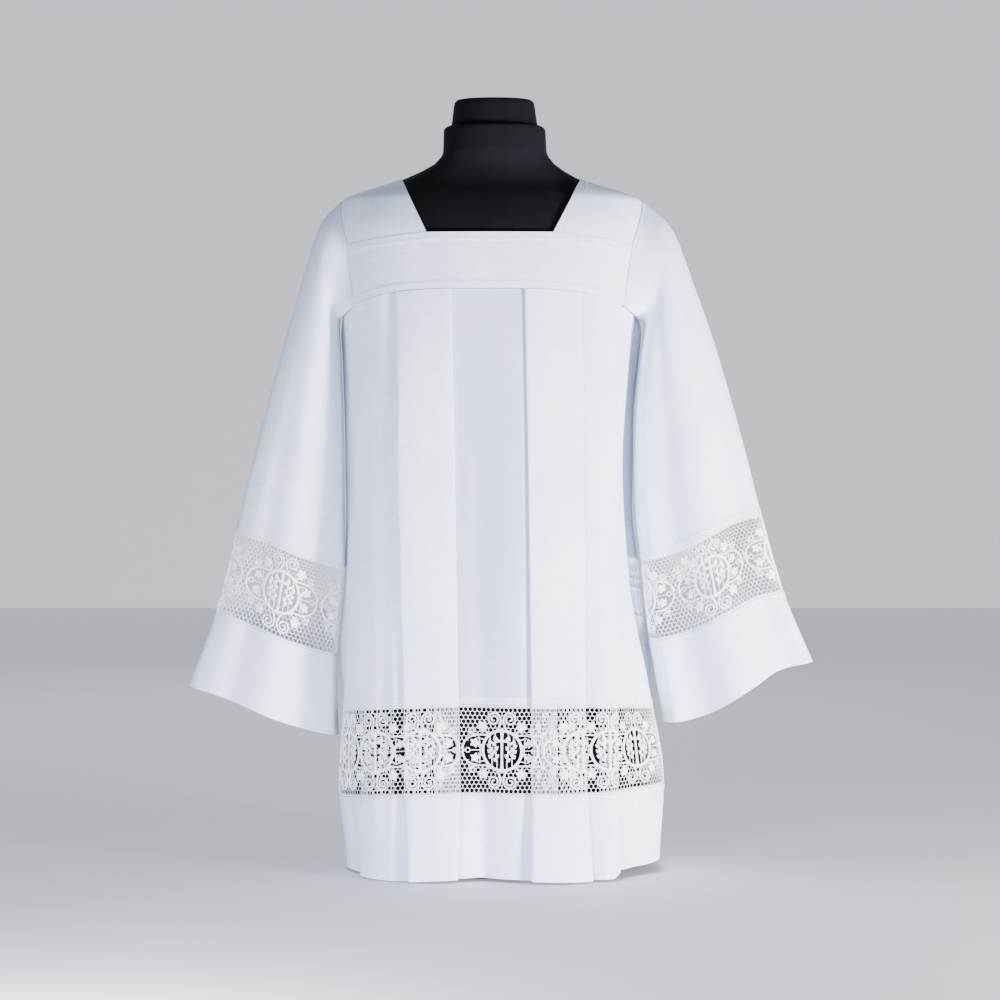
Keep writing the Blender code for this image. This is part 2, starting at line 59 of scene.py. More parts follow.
# Half plan of the worn cloth at each height: reach to -X and +X, depth to the front and to the back.
TORSO = thousandths(
    # z, right side, left side, front, back
    (0, -217, 223, 134, 130),
    (120, -228, 229, 134, 130),
    (240, -221, 211, 130, 126),
    (400, -217, 181, 126, 120),
    (560, -211, 171, 121, 116),
    (700, -216, 180, 121, 117),
    (771, -221, 188, 118, 116),
    (820, -229, 196, 115, 114),
    (880, -234, 204, 107, 108),
    (930, -222, 196, 82, 88),
    (963, -139, 112, 52, 60),
    (985, -96, 78, 50, 56),
)
# The farthest across its half that a place on the plan is taken to be.
PLAN_REACH = 0.985

# The back's cloth swells out beside the side seams and hangs against the sleeves: reach past the plan above.
SIDE_SWELL = thousandths(
    # z, right side, left side
    (229, 0, 0), (300, 12, 14), (420, 6, 18), (490, 8, 15), (570, 11, 18),
    (650, 10, 15), (717, 9, 16), (745, 9, 16), (766, 5, 10), (786, 0, 0),
)
# How far round from the side seam the swell goes, and what brings its curve's peak to 1.
SWELL_TURN, SWELL_PEAK = math.pi / 6, 27 / 4

# The dress form below the chest and above the shoulders, in the torso's columns.
FORM_LOWER = thousandths(
    (0, -168, 152, 98, 94),
    (20, -184, 170, 107, 103),
    (120, -206, 198, 116, 112),
    (240, -202, 184, 114, 110),
    (400, -184, 154, 104, 100),
    (560, -172, 138, 98, 94),
    (700, -190, 158, 106, 104),
    (800, -214, 182, 109, 108),
)
FORM_NECK = thousandths(
    (1000, -81, 64, 56, 56),
    (1031, -80, 62, 56, 55),
    (1035, -76, 58, 52, 51),
    (1036, -70, 52, 47, 46),
    (1069, -65, 46, 42, 42),
    (1072, -62, 43, 39, 39),
)
# Between the two, the form follows the torso's rows from this one on, a clearance inside the cloth.
FORM_COVERED_FROM = 8

# Heights of the body's cross seams at the right side, the front and the left side.
BODY_EDGES = {
    "lace_top": (0.226, 0.240, 0.229),
    "lace_bottom": (0.104, 0.118, 0.121),
    "hem": (0.003, 0.006, 0.015),
}
# Between those, a seam's height changes with this power of the angle's sine.
EDGE_POWER = 3
LACE_TOP, LACE_BOTTOM, HEM = 0.240, 0.118, 0.003
LACE_HEIGHT = LACE_TOP - LACE_BOTTOM

# Pleats from -X to +X, each with its two edges at the hem, at the lace's two edges and at the yoke.
PLEAT_HEIGHTS = (HEM, LACE_BOTTOM, LACE_TOP, 0.800)
PLEATS = (
    # kind, first edge at those heights, second edge at those heights
    ("knife_right", (-0.187, -0.188, -0.189, -0.199), (-0.142, -0.143, -0.143, -0.162)),
    ("box", (-0.120, -0.128, -0.129, -0.143), (-0.058, -0.055, -0.058, -0.067)),
    ("box", (0.040, 0.041, 0.040, 0.032), (0.120, 0.114, 0.112, 0.109)),
    ("knife_left", (0.136, 0.133, 0.132, 0.130), (0.156, 0.156, 0.157, 0.164)),
)
FOLD_PATHS = {
    # share of the way across the pleat, side of the underlays' gap, layer
    "knife_right": ((0, 0, 0), (1, 0, 0), (1, 0, 1), (0, 0, 1), (0, 0, 2), (1, 0, 2)),
    "knife_left": ((0, 0, 2), (1, 0, 2), (1, 0, 1), (0, 0, 1), (0, 0, 0), (1, 0, 0)),
    "box": (
        (0, 0, 0), (0.5, -1, 0), (0.5, -1, 1), (0, 0, 1), (0, 0, 2), (0.5, 0, 2),
        (1, 0, 2), (1, 0, 1), (0.5, 1, 1), (0.5, 1, 0), (1, 0, 0),
    ),
}
PLEAT_LIFTS = (0.0066, 0.0042, 0.0036, 0.0021)
BODY_LIFT = -0.0012
UNDERLAY_GAP = 0.0018
SIDE_SEAM_TRIM = 0.0016

YOKE_TOP, YOKE_BOTTOM = 0.880, 0.803
YOKE_DROP, YOKE_DROP_POWER = 0.032, 8 / TORSO_POWER
YOKE_STEPS = 18
NECK_ANGLE, ARMHOLE_ANGLE = math.radians(20), math.radians(62)
NECK_TOP, BACK_NECK_RISE = 0.9625, 0.024
YOKE_LIFT = 0.0008
ARMHOLE_TOP, ARMHOLE_CORNER = 0.930, 0.866
SHOULDER_EDGE_POWER = 0.75
UNDERARM_LIFT = 0.0013
ARMHOLE_UPPER_TURN, ARMHOLE_LOWER_TURN = math.radians(70), math.radians(125)

# Sleeve rings from the armhole down: outer and inner edge as (x, z), half depth, and the sway of the edge.
SLEEVE_RIGHT = thousandths(
    # outer x, outer z, inner x, inner z, half depth, sway
    (-253, 897, -226.5, 761, 60, 0),
    (-281, 809, -223.5, 712, 59, 0),
    (-305, 727, -221, 647, 56, 0),
    (-331, 630, -219.5, 566, 54, 0),
    (-353, 543, -219, 488, 52, 1),
    (-370, 472, -219, 421, 51, 2),
    (-399, 358, -230, 298, 50, 2),
    (-436.5, 256, -228, 186, 50, 3),
)
SLEEVE_LEFT = thousandths(
    (238, 893, 201, 760, 60, 0),
    (269, 816, 194.5, 712, 59, 0),
    (299, 731, 189, 652, 56, 1),
    (327, 636, 187, 572, 54, 2),
    (348, 558, 188.5, 496, 52, 4),
    (364, 495, 196, 432, 51, 5),
    (395, 388, 208.5, 319, 50, 6),
    (436.5, 289, 228, 205, 50, 10),
)
SLEEVE_LACE_TOP, SLEEVE_LACE_BOTTOM = 6, 7
SLEEVE_FOLDS = thousandths(
    # share of the way from the outer to the inner edge, width, height at the cuff
    (260, 100, -12), (520, 120, 10), (800, 90, -8),
)
# The folds grow with the first power of the way down, and fade to the edges with the second.
FOLD_GROWTH, FOLD_FADE = 1.3, 0.5

# ---------------- sizes of the looks

CAMERA_PLACE, CAMERA_TARGET = (-0.0014, -3.4, 0.57), (-0.0014, 0.0, 0.515)
CAMERA_LENS, SENSOR_WIDTH = 87.4, 36.0

CLOTH_WALL = 0.0006
SHARP_ANGLE = math.radians(50)
COLUMN_SPACING, LEAST_COLUMNS = 0.0028, 3
# Every so many columns of a sleeve, its length is measured.
LENGTH_STEP = 8
# Rounds of smoothing across the folds, and of fitting the body's top to the yoke's edge.
FOLD_SOFTENING, YOKE_FITS = 2, 3
BODY_ROWS, HEM_ROWS, LACE_ROWS = 60, 14, 14
SLEEVE_COLUMNS = 132
SLEEVE_ROWS, CUFF_ROWS = 60, 14
YOKE_COLUMNS, YOKE_ROWS = 96, 26
SHOULDER_COLUMNS, SHOULDER_ROWS = 61, 40
FORM_POINTS, FORM_ROWS = 96, 110
# Radius that turns an angle round the form into a place on its cover, and the share of the neck cap's
# reach at which its top is ringed once more.
FORM_RADIUS, CAP_RING = 0.15, 0.6

# Soft troughs, below 0, and ridges down the body.
DRAPE_FRONT = thousandths(
    # x at the yoke and hem, width at the yoke and hem, depth at the yoke and hem
    (-208, -212, 12, 10, 0, -4),
    (-176, -168, 14, 12, 1, 4),
    (-108, -100, 18, 16, 1, -1),
    (-76, -80, 10, 12, 0, 1),
    (-36, -26, 14, 11, -1, -3),
    (0, 10, 16, 18, 1, 1),
    (66, 60, 18, 14, 1, 0),
    (90, 96, 12, 14, 0, 1),
    (146, 150, 10, 12, 0, 4),
    (182, 190, 12, 14, -2, -5),
)
DRAPE_BACK = thousandths(
    (-200, -206, 14, 12, 0, -5),
    (-168, -160, 12, 14, 1, 3),
    (-98, -104, 16, 13, 1, 3),
    (-44, -30, 14, 14, -1, -5),
    (4, -2, 18, 16, 1, 5),
    (24, 32, 10, 10, 0, -4),
    (78, 70, 16, 16, 1, -3),
    (104, 108, 10, 12, 0, 3),
    (176, 186, 14, 13, -1, -6),
)
# The drape sets in over the top 1/4 of the body and grows with this power of the way down. It fades out
# over this share of the plan's reach, towards the side seams.
DRAPE_ONSET, DRAPE_GROWTH, SIDE_FADE = 4, 1.6, 0.06

# How far the panels between the pleats lean out of the plan: x, and how far out they stand there.
PANELS_FRONT = thousandths(
    (-220, 2), (-150, 2), (-136, 7), (-75, -8), (-62, -12),
    (28, 8), (42, 6), (110, 3), (128, 2), (185, -6),
)
PANELS_BACK = thousandths((-220, -4), (-140, 4), (-70, -3), (-55, -6), (28, 3), (40, 5), (105, -2), (180, -5))
# The same at the hem, and how far down the body its leans begin to take over and where they have.
HEM_LEANS_FRONT = thousandths(
    (-220, -2), (-195, -4), (-128, 6), (-118, 8), (-30, -11), (-22, -11),
    (20, 0), (70, 5), (118, 5), (128, 3), (185, -4),
)
HEM_LEANS_BACK = thousandths((-220, -3), (-150, 5), (-90, -4), (-40, 6), (30, -6), (100, 6), (180, -3))
HEM_LEANS_FROM, HEM_LEANS_TO = 0.72, 0.93
# How far the hem's line rises or falls from its solid's: x, and the rise there.
HEM_LINE_FRONT = thousandths(
    (-215, 0), (-185, -2), (-140, -4.2), (-27, -0.5), (30, -1.5),
    (110, -4.2), (158, -4.2), (166, 3), (215, 0),
)
HEM_LINE_BACK = thousandths((-215, 0), (-120, -3), (-50, 0), (10, -3.5), (80, 1), (140, -3), (215, 0))

# Soft folds along the sleeves. A place round the sleeve is 0 at its outer edge, 0.25 at its front and 0.5
# at its inner edge.
CREASES_LEFT = thousandths(
    # place at the armhole and cuff, width at the armhole and cuff, height at the armhole and cuff
    (100, 75, 30, 26, 0, 6),
    (140, 135, 30, 28, -1, -5),
    (210, 225, 34, 36, 1, 7),
    (310, 320, 30, 34, -3, -6),
    (400, 405, 26, 26, 1, 5),
    (620, 640, 30, 34, 0, 8),
    (740, 725, 32, 30, -1, -9),
    (830, 835, 30, 32, 1, 7),
)
CREASES_RIGHT = thousandths(
    (90, 60, 28, 28, 0, 3),
    (170, 170, 34, 34, 0, 5),
    (270, 265, 34, 40, 1, -3),
    (370, 360, 28, 30, -2, 3),
    (440, 430, 22, 26, 1, 3),
    (600, 615, 30, 30, 0, -6),
    (710, 730, 34, 36, 1, 8),
    (850, 840, 30, 30, 0, -6),
)
# The creases set in over the top 1/5 of the sleeve and grow with this power of the way down.
CREASE_ONSET, CREASE_GROWTH = 5, 1.2
SLEEVES = (("right", -1, SLEEVE_RIGHT, CREASES_RIGHT), ("left", 1, SLEEVE_LEFT, CREASES_LEFT))

# The lace's stretches that show on the body, and the medallion that each one carries.
LACE_SHOWN = (
    # first and last corner of the fold path, the medallion's x, its number from the middle
    (0, 1, -0.210, -4),
    (5, 7, -0.171, -3),
    (11, 13, -0.109, -2),
    (17, 18, 0.001, 0),
    (22, 24, 0.111, 2),
    (28, 30, 0.148, 3),
    (34, 35, 0.185, 4),
)
LACE_REPEAT = 0.1175
NET_CELLS, NET_ROW = 19, 0.0055
NET_TOP = 0.0580
EDGE_WIDTH, EDGE_THICK, EDGE_STEP, EDGE_INSET = 0.0024, 0.0012, 0.004, 0.0005

# Threads and bars of the lace: width and thickness.
NET_THREAD, BRIDE = (0.0008, 0.0008), (0.0012, 0.0010)
VINE_BAR, CURL_BAR, FLOWER_BAR = (0.0023, 0.0018), (0.0017, 0.0015), (0.0014, 0.0014)
STEM_BAR, INNER_STEM_BAR = (0.0017, 0.0014), (0.0014, 0.0012)
SPRIG_BAR, SPRIG_TIE = (0.0018, 0.0016), (0.0011, 0.0010)

# The ring and its plain cross. The bars widen to their ends, the upright only past its plain share.
RING_RADIUS, RING_WIDTH, RING_THICK = 0.0272, 0.0040, 0.0022
CROSS_ARM, CROSS_ARM_HEIGHT, CROSS_THICK = 0.0085, 0.0130, 0.0020
UPRIGHT_WIDTH, UPRIGHT_END, UPRIGHT_PLAIN = 0.0034, 0.0060, 0.7
ARM_WIDTH, ARM_END = 0.0030, 0.0048

# The branches beside the cross: x at the ends, half height. Each side leaf has its share of the way from
# the middle to the end, and how far it leans out.
SPRIGS = ((0.0068, 0.0165), (0.0140, 0.0110))
SPRIG_STEPS, SPRIG_BEND, SPRIG_CURVE = (-1.0, -0.5, 0.0, 0.5, 0.8), 0.0034, 2.4
SPRIG_LEAF, SPRIG_SIDE_LEAF, SPRIG_LEAF_OUT, SPRIG_TIE_INSET = 0.0036, 0.00288, 0.00216, 0.001
SPRIG_TIP_TURN, SPRIG_LEAF_TURN = 0.3, 0.9
SPRIG_LEAVES = ((-0.75, 1.0), (-0.45, -0.8), (-0.10, 1.0), (0.20, -0.8), (0.55, 1.0))

# The volutes on the ring. A curl narrows with the power of the way that is left, down to its eye.
SCROLL_STEM = ((0.0070, 0.0268), (0.0038, 0.0330), (0.0024, 0.0385))
SCROLL_CENTRE, SCROLL_RADIUS, SCROLL_TURNS = (0.0113, 0.0424), 0.0080, 1.8
CURL_POWER, CURL_EYE = 0.8, 0.0012
# Points along each line of the ornament.
RING_STEPS, FLOWER_STEPS, UPRIGHT_STEPS, ARM_STEPS = 64, 14, 9, 7
SCROLL_STEPS, SCROLL_STEM_STEPS, CURL_STEPS, CURL_STEM_STEPS = 46, 7, 18, 6
LOOP_STEPS, LOOP_END_STEPS, OUTER_STEM_STEPS, INNER_STEM_STEPS = 34, 4, 4, 3

# The bow of vine beside the ring, its upper end and the curl on it.
LOOP_START, LOOP_REACH, LOOP_HALF_HEIGHT = 0.0285, 0.0548, 0.0208
LOOP_TURN, LOOP_POWER = 0.56 * math.pi, 0.85
LOOP_END = ((0.0150, 0.0232), (0.0200, 0.0222))
CURL_STEM = ((0.0300, 0.0208), (0.0360, 0.0212), (0.0420, 0.0222))
CURL_CENTRE, CURL_RADIUS, CURL_TURNS = (0.0418, 0.0262), 0.0034, 1.3

# Leaves and the flower as x, y and size, the leaves' stems and the way they point. Brides as two ends.
LEAF_OUTER, OUTER_STEM, OUTER_WAY = (0.0270, 0.0325, 0.0078), (0.0185, 0.0205), (0.6, 0.8)
LEAVES_INNER = ((0.0382, 0.0100, 0.0066), (0.0380, -0.0105, 0.0066))
INNER_STEM_X, INNER_STEM_RISE, INNER_WAY_X = 0.0280, 0.45, 0.012
FLOWER = (0.0478, 0.0, 0.0030)
BRIDES = (
    (0.0262, 0.0080, 0.0340, 0.0045),
    (0.0305, 0.0000, 0.0320, 0.0180),
    (0.0235, 0.0140, 0.0340, 0.0165),
)
# A leaf's outline is its mean reach, its lobes and their points. It rises in rings: share of the reach,
# share of the thickness.
LEAF_OUTLINE, LEAF_THICK, LOBE_STEPS, VINE_LOBES, SPRIG_LOBES = (0.80, 0.20, 0.08), 0.0011, 8, 5, 3
LEAF_RINGS = ((1.0, 0.25), (0.55, 0.75), (0.0, 0.45))

# The open ground under the ornament: its margin round the volutes, the power of its bow, and the share of
# the outer leaf's size.
GROUND_MARGIN, GROUND_POWER, GROUND_LEAF = 0.0008, 2.4, 0.6

HEADING_WIDTH, HEADING_THICK, HEADING_OUT, HEADING_INSET, HEADING_ROWS = 0.0105, 0.0007, 0.0008, 0.0004, 4
STITCH_LENGTH, STITCH_PITCH, STITCH_THICK = 0.0023, 0.0032, 0.0005
YOKE_STRIP, YOKE_STRIP_RISE, YOKE_STRIP_SLOPE = 0.0100, 0.0009, 0.0015
YOKE_STITCH_INSET, NECK_STITCH_INSET = 0.0090, 0.0065
ARMHOLE_LAP, ARMHOLE_LAP_RISE, ARMHOLE_LAP_TURN = 0.0030, 0.0009, math.radians(1.2)
SEAM_CORD, SEAM_CORD_THICK = 0.0016, 0.00112
# The gap beside the sleeve's lace, in rings of the sleeve.
SLEEVE_SEAM = 0.002

# The single stretches between the pleats, by the corner they start at, and how far they are greyed there.
# Partly the dark form showing through one layer, partly painted shade, strongest on the middle panel.
SHEER_AND_SHADE_FRONT = ((0, 0.1), (6, 0.2), (17, 1.0), (28, 0.2), (34, 0.1))
SHEER_AND_SHADE_BACK = ((0, 0.3), (6, 0.6), (17, 0.9), (28, 0.6), (34, 0.3))
FORM_AND_SHADE_TINT = (0.78, 0.80, 0.83, 1.0)

FABRICS = (
    # what it is for, name, roughness, pitches of its threads, dark shade, light shade, what else it has
    ("cloth", "white_lawn", 0.75, (0.0007, 0.0007), (0.69, 0.74, 0.88, 1.0), (0.83, 0.88, 0.99, 1.0),
     {"sheen": 0.15, "form_and_shade_tint": FORM_AND_SHADE_TINT}),
    ("lace", "white_lace_thread", 0.85, (0.0009, 0.0009), (0.86, 0.88, 0.92, 1.0), (0.92, 0.94, 0.97, 1.0),
     {}),
    ("heading", "white_lace_heading", 0.85, (0.0013, 0.0013), (0.80, 0.84, 0.93, 1.0),
     (0.88, 0.91, 0.98, 1.0), {"weave_depth": 0.0003, "eyelets": (0.0050, 0.0052)}),
    ("thread", "white_thread", 0.6, (0.0006, 0.0006), (0.80, 0.83, 0.88, 1.0), (0.86, 0.88, 0.92, 1.0), {}),
    ("cover", "black_jersey", 0.9, (0.0011, 0.0014), (0.0022, 0.0026, 0.0036, 1.0),
     (0.0036, 0.0042, 0.0054, 1.0), {"sheen": 0.0, "gloss": 0.12}),
)
SHEEN_ROUGHNESS = 0.5
# Scales of the shade's clouds and of the slubs in the yarn: cycles a metre along and up, and detail.
CLOUD_SCALE, SLUB_SCALE = (14.0, 8.0, 3.0), (75.0, 520.0, 2.0)
SHADE_LOW, SHADE_HIGH = 0.12, 0.40
SLUB_DEPTH, BUMP_STRENGTH = 0.0001, 0.5
# The heading's small holes: the wave's heights where a hole begins and where it is darkest, and its tint.
EYELET_EDGE, EYELET_MIDDLE, EYELET_TINT = 0.25, 0.75, (0.50, 0.54, 0.61, 1.0)

WORLD_COLOUR, WORLD_STRENGTH = (0.75, 0.81, 1.0, 1.0), 0.57
FLOOR_REACH, FLOOR_COLOUR, FLOOR_ROUGHNESS, FLOOR_GLOW = 30.0, (0.64, 0.65, 0.67, 1.0), 0.9, 0.24
BACKDROP_REACH, BACKDROP_HEIGHT, BACKDROP_PLACE, BACKDROP_GLOW = 12.0, 9.0, 6.0, 0.60
LIGHTS = (
    # name, place, aim, width, power, colour
    ("key", (1.65, -1.20, 0.02), (0.1, 0.0, 0.15), 0.45, 320.0, (0.93, 0.96, 1.0)),
    ("fill", (-0.45, -1.15, 0.0), (-0.05, 0.0, 0.15), 0.6, 50.0, (0.83, 0.87, 1.0)),
    ("back", (-0.6, 2.6, 2.2), (0.0, 0.0, 0.6), 1.6, 26.0, (0.95, 0.97, 1.0)),
)

# ---------------- the worn cloth's plan


def smooth_column(table, column, z):
    """A table's column at heights z, by a cubic through its rows that doesn't overshoot."""
    heights, values = (np.array([row[k] for row in table]) for k in (0, column))
    slopes = np.diff(values) / np.diff(heights)
    tangents = np.zeros(len(values))
    same_way = slopes[:-1] * slopes[1:] > 0
    tangents[1:-1][same_way] = 2 / (1 / slopes[:-1][same_way] + 1 / slopes[1:][same_way])
    z = np.clip(z, heights[0], heights[-1])
    k = np.clip(np.searchsorted(heights, z) - 1, 0, len(slopes) - 1)
    step = heights[k + 1] - heights[k]
    t = (z - heights[k]) / step
    start, end = tangents[k] * step, tangents[k + 1] * step
    rise = values[k + 1] - values[k]
    return values[k] + t * start + t * t * (3 * rise - 2 * start - end) + t**3 * (start + end - 2 * rise)


def stacked(*columns):
    return np.stack(columns, axis=-1)


def signed_power(value, power):
    return np.sign(value) * np.abs(value) ** power


def plan_sizes(z, back, table=TORSO):
    """The half plan's centre, reach and depth at heights z."""
    right, left, front, rear = (smooth_column(table, column, z) for column in (1, 2, 3, 4))
    return (right + left) / 2, (left - right) / 2, np.where(back, rear, front)


def plan_angle(x, z, back):
    centre, reach, _ = plan_sizes(z, back)
    share = np.clip((x - centre) / reach, -PLAN_REACH, PLAN_REACH)
    return np.arcsin(signed_power(share, TORSO_POWER / 2))


def plan_points(angle, z, back, lift=0.0, table=TORSO):
    """Points of one half, seen from outside it: angle 0 is its middle, -90 and 90 degrees its sides."""
    centre, reach, depth = plan_sizes(z, back, table)
    across = signed_power(np.sin(angle), 2 / TORSO_POWER)
    out = np.maximum(np.cos(angle), 0.0) ** (2 / TORSO_POWER)
    normal_x = signed_power(across, TORSO_POWER - 1) / reach
    normal_y = -(out ** (TORSO_POWER - 1)) / depth
    size = np.hypot(normal_x, normal_y)
    x = centre + reach * across + lift * normal_x / size
    y = -depth * out + lift * normal_y / size
    if table is TORSO:
        x = x + np.where(back, side_swell(angle, z), 0.0)
    return stacked(x, np.where(back, -y, y), z + 0 * x)


def side_swell(angle, z):
    """How far the back's cloth swells out beside the side seams."""
    right, left = (smooth_column(SIDE_SWELL, column, z) for column in (1, 2))
    share = np.clip((math.pi / 2 - np.abs(angle)) / SWELL_TURN, 0, 1)
    return np.where(angle > 0, left, -right) * SWELL_PEAK * share * (1 - share) ** 2


def torso_points(angle, z, lift=YOKE_LIFT):
    """Points of the worn cloth: angle 0 is the front, 90 degrees the wearer's left, 180 the back."""
    angle = (angle + math.pi) % (2 * math.pi) - math.pi
    back = np.abs(angle) > math.pi / 2
    turned = np.where(back, np.copysign(math.pi, angle) - angle, angle)
    return plan_points(turned, z, back, lift)


# ---------------- sheets of cloth


def lengths_of(line):
    """How far each point of a line is along it."""
    steps = np.linalg.norm(np.diff(line, axis=0), axis=1)
    return np.concatenate([[0.0], np.cumsum(steps)])


def unit(vectors):
    return vectors / np.maximum(np.linalg.norm(vectors, axis=-1, keepdims=True), 1e-12)


class Cloth:
    """A sheet's grid of points, with each column's place along it and each row's height up it, in metres."""

    def __init__(self, points, along=None, up=None, closed=False):
        self.points = points
        middle = lengths_of(points[len(points) // 2])
        self.along = middle - middle[-1] / 2 if along is None else along
        self.up = lengths_of(points[:, points.shape[1] // 2]) if up is None else up
        self.closed = closed
        self.set_normals()

    def set_normals(self):
        points = self.points
        if self.closed:
            points = np.concatenate([points[:, -2:-1], points, points[:, 1:2]], axis=1)
        normals = unit(np.cross(np.gradient(points, axis=1), np.gradient(points, axis=0)))
        if self.closed:
            normals = normals[:, 1:-1]
        outward = self.points - self.points.reshape(-1, 3).mean(axis=0)
        self.flipped = float((normals * outward).sum()) < 0
        self.normals = -normals if self.flipped else normals

    def size(self):
        return self.along[-1] - self.along[0], self.up[-1] - self.up[0]

    def moved_out(self, amounts):
        return Cloth(self.points + self.normals * amounts[..., None], self.along, self.up, self.closed)

    def at(self, along, up, out):
        """Points on the sheet, or lifted off it by out."""
        j = np.clip(np.searchsorted(self.along, along) - 1, 0, len(self.along) - 2)
        i = np.clip(np.searchsorted(self.up, up) - 1, 0, len(self.up) - 2)
        s = ((along - self.along[j]) / (self.along[j + 1] - self.along[j]))[..., None]
        t = ((up - self.up[i]) / (self.up[i + 1] - self.up[i]))[..., None]

        def blend(grid):
            lower = grid[i, j] * (1 - s) + grid[i, j + 1] * s
            upper = grid[i + 1, j] * (1 - s) + grid[i + 1, j + 1] * s
            return lower * (1 - t) + upper * t

        return blend(self.points) + unit(blend(self.normals)) * np.asarray(out)[..., None]

    def strip(self, low, high, rows, out):
        """A narrower sheet on this one, between two heights and lifted off it."""
        up = np.linspace(low, high, rows)
        grid = np.meshgrid(self.along, up)
        return Cloth(self.at(grid[0], grid[1], np.full(grid[0].shape, out)), self.along, up, self.closed)


def linked(name, data):
    """A new object in the scene."""
    made = bpy.data.objects.new(name, data)
    bpy.context.scene.collection.objects.link(made)
    return made


def make_mesh(name, points, faces, places, skin):
    """A mesh object with its places on the cloth, in metres, as its UV map."""
    mesh = bpy.data.meshes.new(name)
    mesh.from_pydata(points.reshape(-1, 3).tolist(), [], faces.tolist())
    layer = mesh.uv_layers.new(name="places")
    layer.data.foreach_set("uv", places[faces.ravel()].astype(np.float32).ravel())
    mesh.materials.append(skin)
    mesh.shade_smooth()
    mesh.set_sharp_from_angle(angle=SHARP_ANGLE)
    return linked(name, mesh)


def shell(name, cloth, skin, wall=CLOTH_WALL):
    """The sheet as a thin closed shell."""
    rows, columns = cloth.points.shape[:2]
    count = rows * columns
    index = np.arange(count).reshape(rows, columns)
    a, b, c, d = index[:-1, :-1], index[:-1, 1:], index[1:, 1:], index[1:, :-1]
    front = stacked(a, b, c, d).reshape(-1, 4)
    rim = np.concatenate([index[0], index[1:, -1], index[-1, -2::-1], index[-2::-1, 0]])
    edge = stacked(rim[1:], rim[:-1], rim[:-1] + count, rim[1:] + count)
    faces = np.concatenate([front, front[:, ::-1] + count, edge])
    if cloth.flipped:
        faces = faces[:, ::-1]
    half = cloth.normals * wall / 2
    points = np.concatenate([(cloth.points + half).reshape(-1, 3), (cloth.points - half).reshape(-1, 3)])
    places = stacked(*np.meshgrid(cloth.along, cloth.up)).reshape(-1, 2)
    return make_mesh(name, points, faces, np.concatenate([places, places]), skin)


# ---------------- drawing flat, to be laid on cloth


def polar(centre, turn, size):
    """Points at angles turn and distances size from a centre."""
    return np.asarray(centre) + np.reshape(size, (-1, 1)) * stacked(np.cos(turn), np.sin(turn))


def ring_faces(near, far, count):
    """Quads between rings of count points, given the numbers of the rings' first points."""
    near, far = np.reshape(near, (-1, 1)), np.reshape(far, (-1, 1))
    k = np.arange(count)
    following = (k + 1) % count
    return stacked(near + k, near + following, far + following, far + k).reshape(-1, 4)


def turned_over(faces):
    return faces[:, (0, 3, 2, 1)]


class Drawing:
    """Closed forms drawn flat as (along, up, out), in metres."""

    def __init__(self):
        self.points = []
        self.faces = []
        self.count = 0

    def add(self, points, faces):
        self.points.append(np.asarray(points, float))
        self.faces.append(np.asarray(faces, int) + self.count)
        self.count += len(points)

    def joined(self):
        return np.concatenate(self.points), np.concatenate(self.faces)

    def add_moved(self, other, along):
        points, faces = other.joined()
        self.add(points + np.array((along, 0.0, 0.0)), faces)

    def bars(self, lines, width, thick, sides=6, turned=0.5, ring=False, rise=0.0, capped=True):
        """Bars along lines of (along, up), all equally many points, and closed where ring is true."""
        lines = np.asarray(lines, float)
        count = lines.shape[1]
        tangent = unit(np.roll(lines, -1, 1) - np.roll(lines, 1, 1) if ring else np.gradient(lines, axis=1))
        normal = stacked(-tangent[..., 1], tangent[..., 0])[:, :, None]
        turn = 2 * np.pi * (np.arange(sides) + turned) / sides
        plane = lines[:, :, None] + normal * (np.reshape(width, (-1, 1)) * np.cos(turn) / 2)[..., None]
        out = np.broadcast_to(rise + np.sin(turn) * thick / 2, plane.shape[:3])
        points = np.concatenate([plane, out[..., None]], axis=-1).reshape(-1, 3)
        spans = np.arange(count if ring else count - 1)
        faces = turned_over(ring_faces(spans * sides, (spans + 1) % count * sides, sides))
        if capped and not ring:
            caps = np.array([(0, m + 1, m + 2, m + 3) for m in range(0, sides - 2, 2)])
            faces = np.concatenate([faces, caps, caps[:, ::-1] + (count - 1) * sides])
        starts = np.arange(len(lines))[:, None, None] * count * sides
        self.add(points, (faces + starts).reshape(-1, 4))

    def bar(self, line, width, thick, **settings):
        self.bars([line], width, thick, **settings)

    def threads(self, segments, width, thick, rise=0.0, capped=False):
        """Straight four-sided threads, each from (x0, y0) to (x1, y1)."""
        self.bars(np.reshape(segments, (-1, 2, 2)), width, thick, 4, 0.0, rise=rise, capped=capped)

    def leaf(self, centre, size, turn, lobes=VINE_LOBES):
        """A lobed leaf with a raised middle, its tip at the angle turn."""
        steps = lobes * LOBE_STEPS
        angles = 2 * np.pi * np.arange(steps) / steps
        mean, lobe, point = LEAF_OUTLINE
        reach = size * (mean + lobe * np.cos(lobes * angles) + point * np.cos(3 * lobes * angles))
        rings = []
        for share, out in LEAF_RINGS:
            ring = polar(centre, angles + turn, reach * share)
            rings.append(np.column_stack([ring, np.full(steps, out * LEAF_THICK)]))
        rings.append(rings[0] * (1, 1, -1))
        pairs = np.arange(0, steps, 2)
        inner = [steps + (pairs + k) % steps for k in (0, 1, 2)]
        middle = stacked(np.full(len(pairs), 2 * steps), *inner)
        side = turned_over(ring_faces(0, 3 * steps, steps))
        self.add(np.concatenate(rings), np.concatenate([ring_faces(0, steps, steps), side, middle]))


def laid(name, drawing, cloth, skin):
    """The drawing laid on a sheet. What would hang over the sheet's ends is left out."""
    points, faces = drawing.joined()
    inside = (points[:, 0] >= cloth.along[0]) & (points[:, 0] <= cloth.along[-1])
    used, faces = np.unique(faces[inside[faces].all(axis=1)], return_inverse=True)
    points = points[used]
    return make_mesh(name, cloth.at(*points.T), faces.reshape(-1, 4), points[:, :2], skin)


# ---------------- the pleated body


